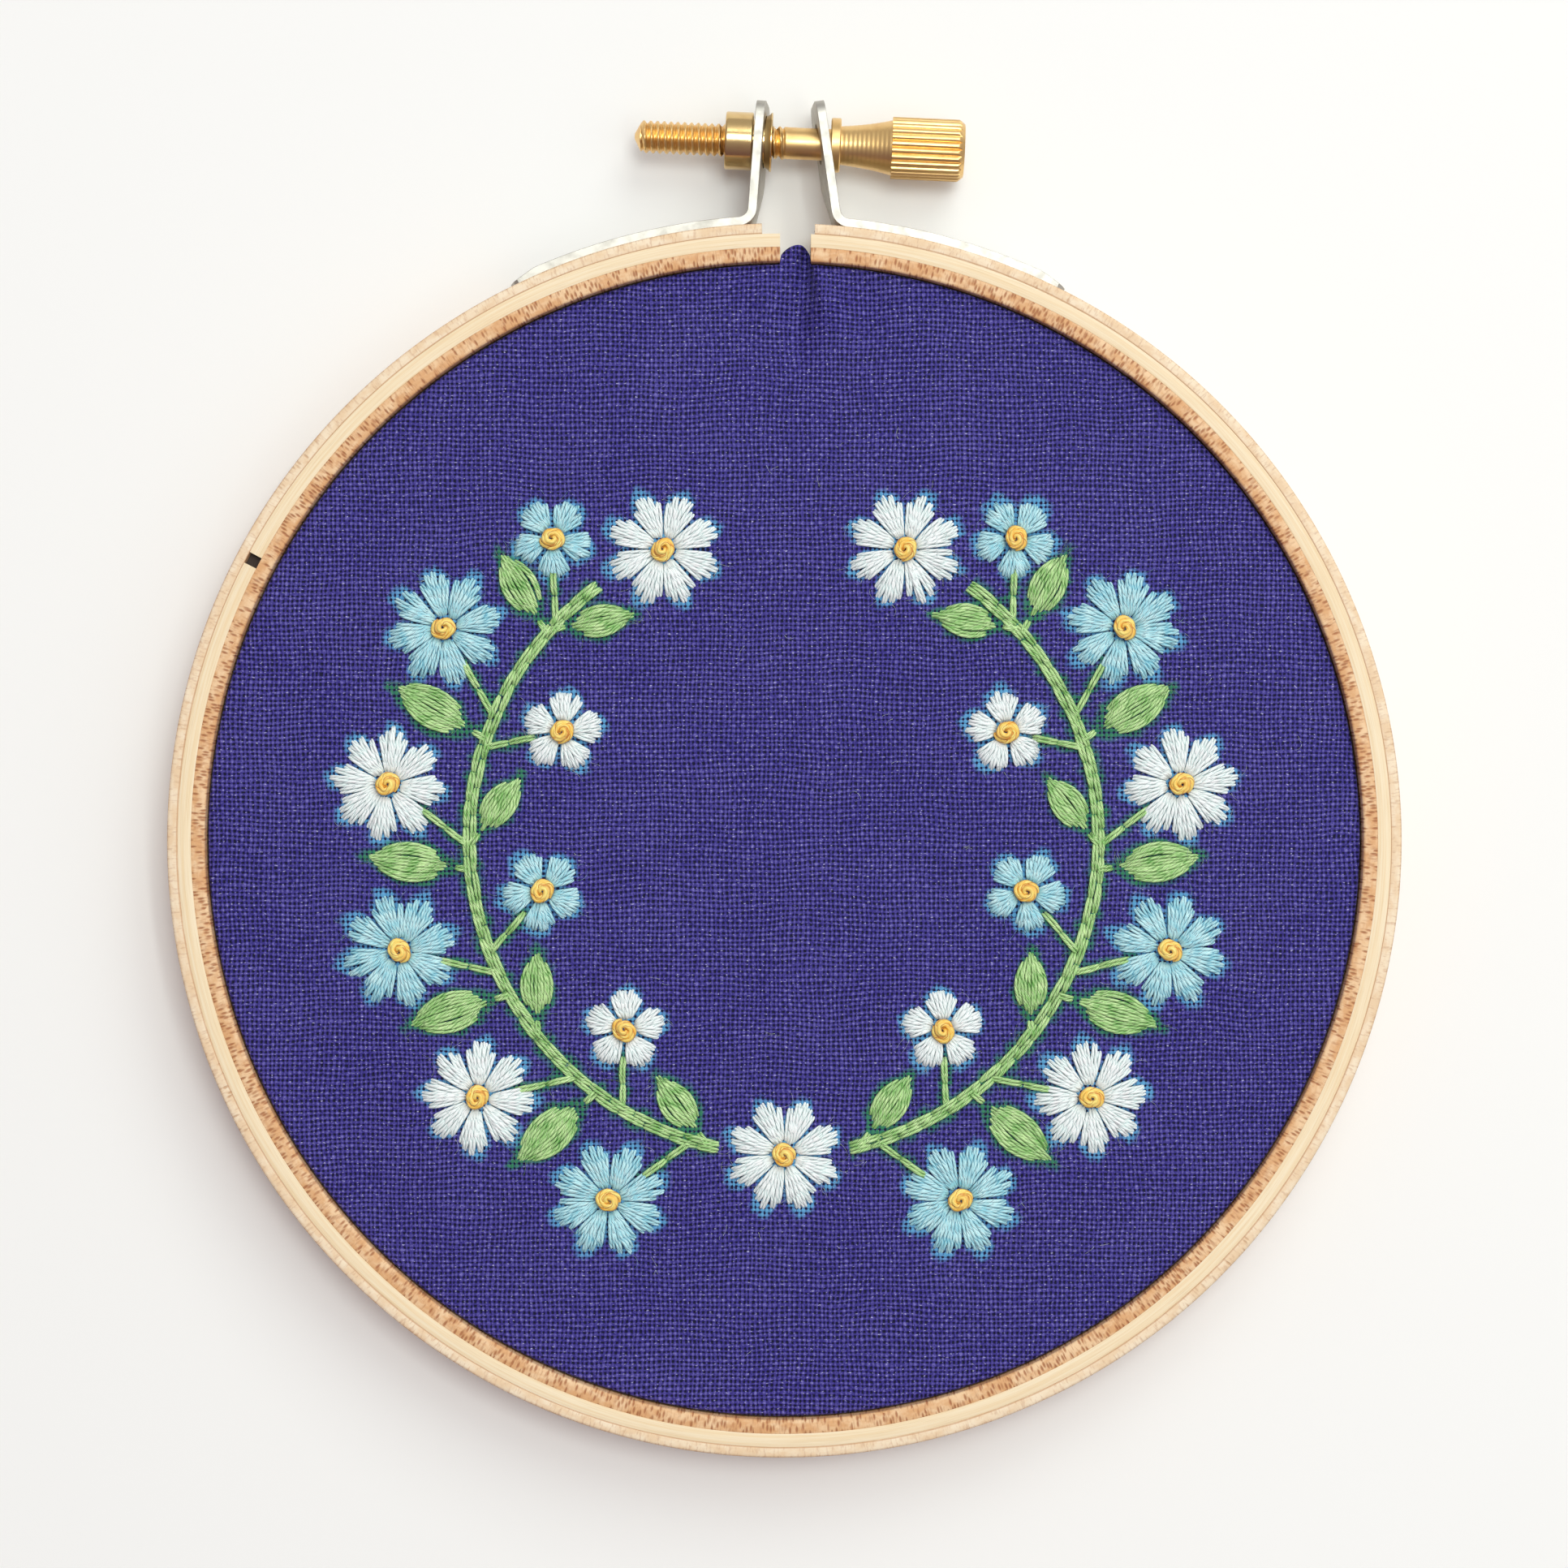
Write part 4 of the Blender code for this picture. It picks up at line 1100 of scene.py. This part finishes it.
# Stray fibres: thin bowed hairs that start at a stitch and rise a little
def strayHairs(store, roots, count, length, size, lowest, slot=0):
    picked = roots[chance.integers(0, len(roots), count)] + chance.normal(0, 0.15, (count, 2))
    t = np.linspace(0, 1, 6)
    heading = chance.uniform(0, 2 * np.pi, (count, 1)) + chance.normal(0, 1.0, (count, 1)) * t
    step = chance.uniform(*length, (count, 1)) / 5
    flat = np.cumsum(onCircle(heading) * step[..., None], 1)
    path = np.empty((count, 6, 3))
    path[..., :2] = picked[:, None] + flat
    path[..., 2] = lowest + chance.uniform(0.0, 0.25, (count, 1)) * np.sin(np.pi * t)
    addTubes(store, path, np.full((count, 6), size) * (1 - 0.5 * t), slot, 3)


fuzz = newStore()
for number, name in enumerate(colours):
    strayHairs(fuzz, join(hairs[name]), 420, (0.5, 1.5), 0.018, 7.85, number)
makePiece("floss_fuzz", fuzz, tuple(flossOf[name] for name in colours), sharp=70)
lint = newStore()
spread = stemPoint(chance.uniform(0, 360, 70), 1, 48 * np.sqrt(chance.uniform(0, 1, 70)))
strayHairs(lint, spread, 70, (0.35, 1.1), 0.022, 7.76)
makePiece("cloth_lint", lint, (flossOf["white"],), sharp=70)
print("fibres made")

# ---- studio ----
studio = {
    "floorTint": (252, 251, 248),
    "floorSize": 6.0,
    "floorHeight": -0.00003,
    "roomTints": ((138, 100, 126), (255, 254, 253)),
    "worldStrength": 0.56,
    "lightTint": (0.95, 1.005, 0.98),
    # place, width, height, power
    "key": ((0.32, 0.66, 0.76), 0.6, 0.6, 3.0),
    "fill": ((0.5, -0.05, 0.55), 0.5, 0.5, 0.4),
    "strip": ((0.24, 0.03, 0.8), 0.7, 0.06, 0.85),
    "overhead": ((0.08, 0.14, 0.9), 0.3, 0.3, 2.65),
    "lensReach": 0.34,
    "lookAt": (0.0, -0.65),
    "frameHalf": 69.55,
}
floorMesh = bpy.data.meshes.new("floor")
half = studio["floorSize"] / 2
corners = [(x * half, y * half, studio["floorHeight"]) for x, y in ((-1, -1), (1, -1), (1, 1), (-1, 1))]
floorMesh.from_pydata(corners, [], [(0, 1, 2, 3)])
floor = bpy.data.objects.new("floor", floorMesh)
bpy.context.scene.collection.objects.link(floor)
floorMaterial, floorTree, floorShader = newMaterial("floorPaper", 0.9, Specular_IOR_Level=0.1)
floorShader.inputs["Base Color"].default_value = tint(*studio["floorTint"])
floorMesh.materials.append(floorMaterial)


def areaLight(name, place, width, height, power):
    light = bpy.data.lights.new(name, "AREA")
    light.shape = "RECTANGLE"
    light.size = width
    light.size_y = height
    light.energy = power
    light.color = studio["lightTint"]
    made = bpy.data.objects.new(name, light)
    made.location = place
    made.rotation_mode = "QUATERNION"
    made.rotation_quaternion = (-made.location).to_track_quat("-Z", "Y")
    bpy.context.scene.collection.objects.link(made)
    return made


for name in ("key", "fill", "strip", "overhead"):
    areaLight(f"{name}Light", *studio[name])

# The room: brightest on the far side and overhead, dim and mauve on the near side
world = bpy.data.worlds.new("room")
world.use_nodes = True
roomTree = world.node_tree
right, ahead, above = partsOf(coordinates(roomTree, "Generated"))
brightness = (right * 0.15 + ahead * 0.45 + above * 0.25).calc("ADD", 0.4, clamp=True)
background = roomTree.nodes["Background"]
connect(background.inputs["Color"], blend(brightness, *studio["roomTints"]))
background.inputs["Strength"].default_value = studio["worldStrength"]
bpy.context.scene.world = world
bpy.context.scene.view_settings.view_transform = "Standard"

camera = bpy.data.objects.new("camera", bpy.data.cameras.new("camera"))
camera.data.sensor_width = 36
camera.data.lens = 18 * studio["lensReach"] / (studio["frameHalf"] * mm)
camera.location = (studio["lookAt"][0] * mm, studio["lookAt"][1] * mm, hoop["depth"] * mm + studio["lensReach"])
bpy.context.scene.collection.objects.link(camera)
bpy.context.scene.camera = camera
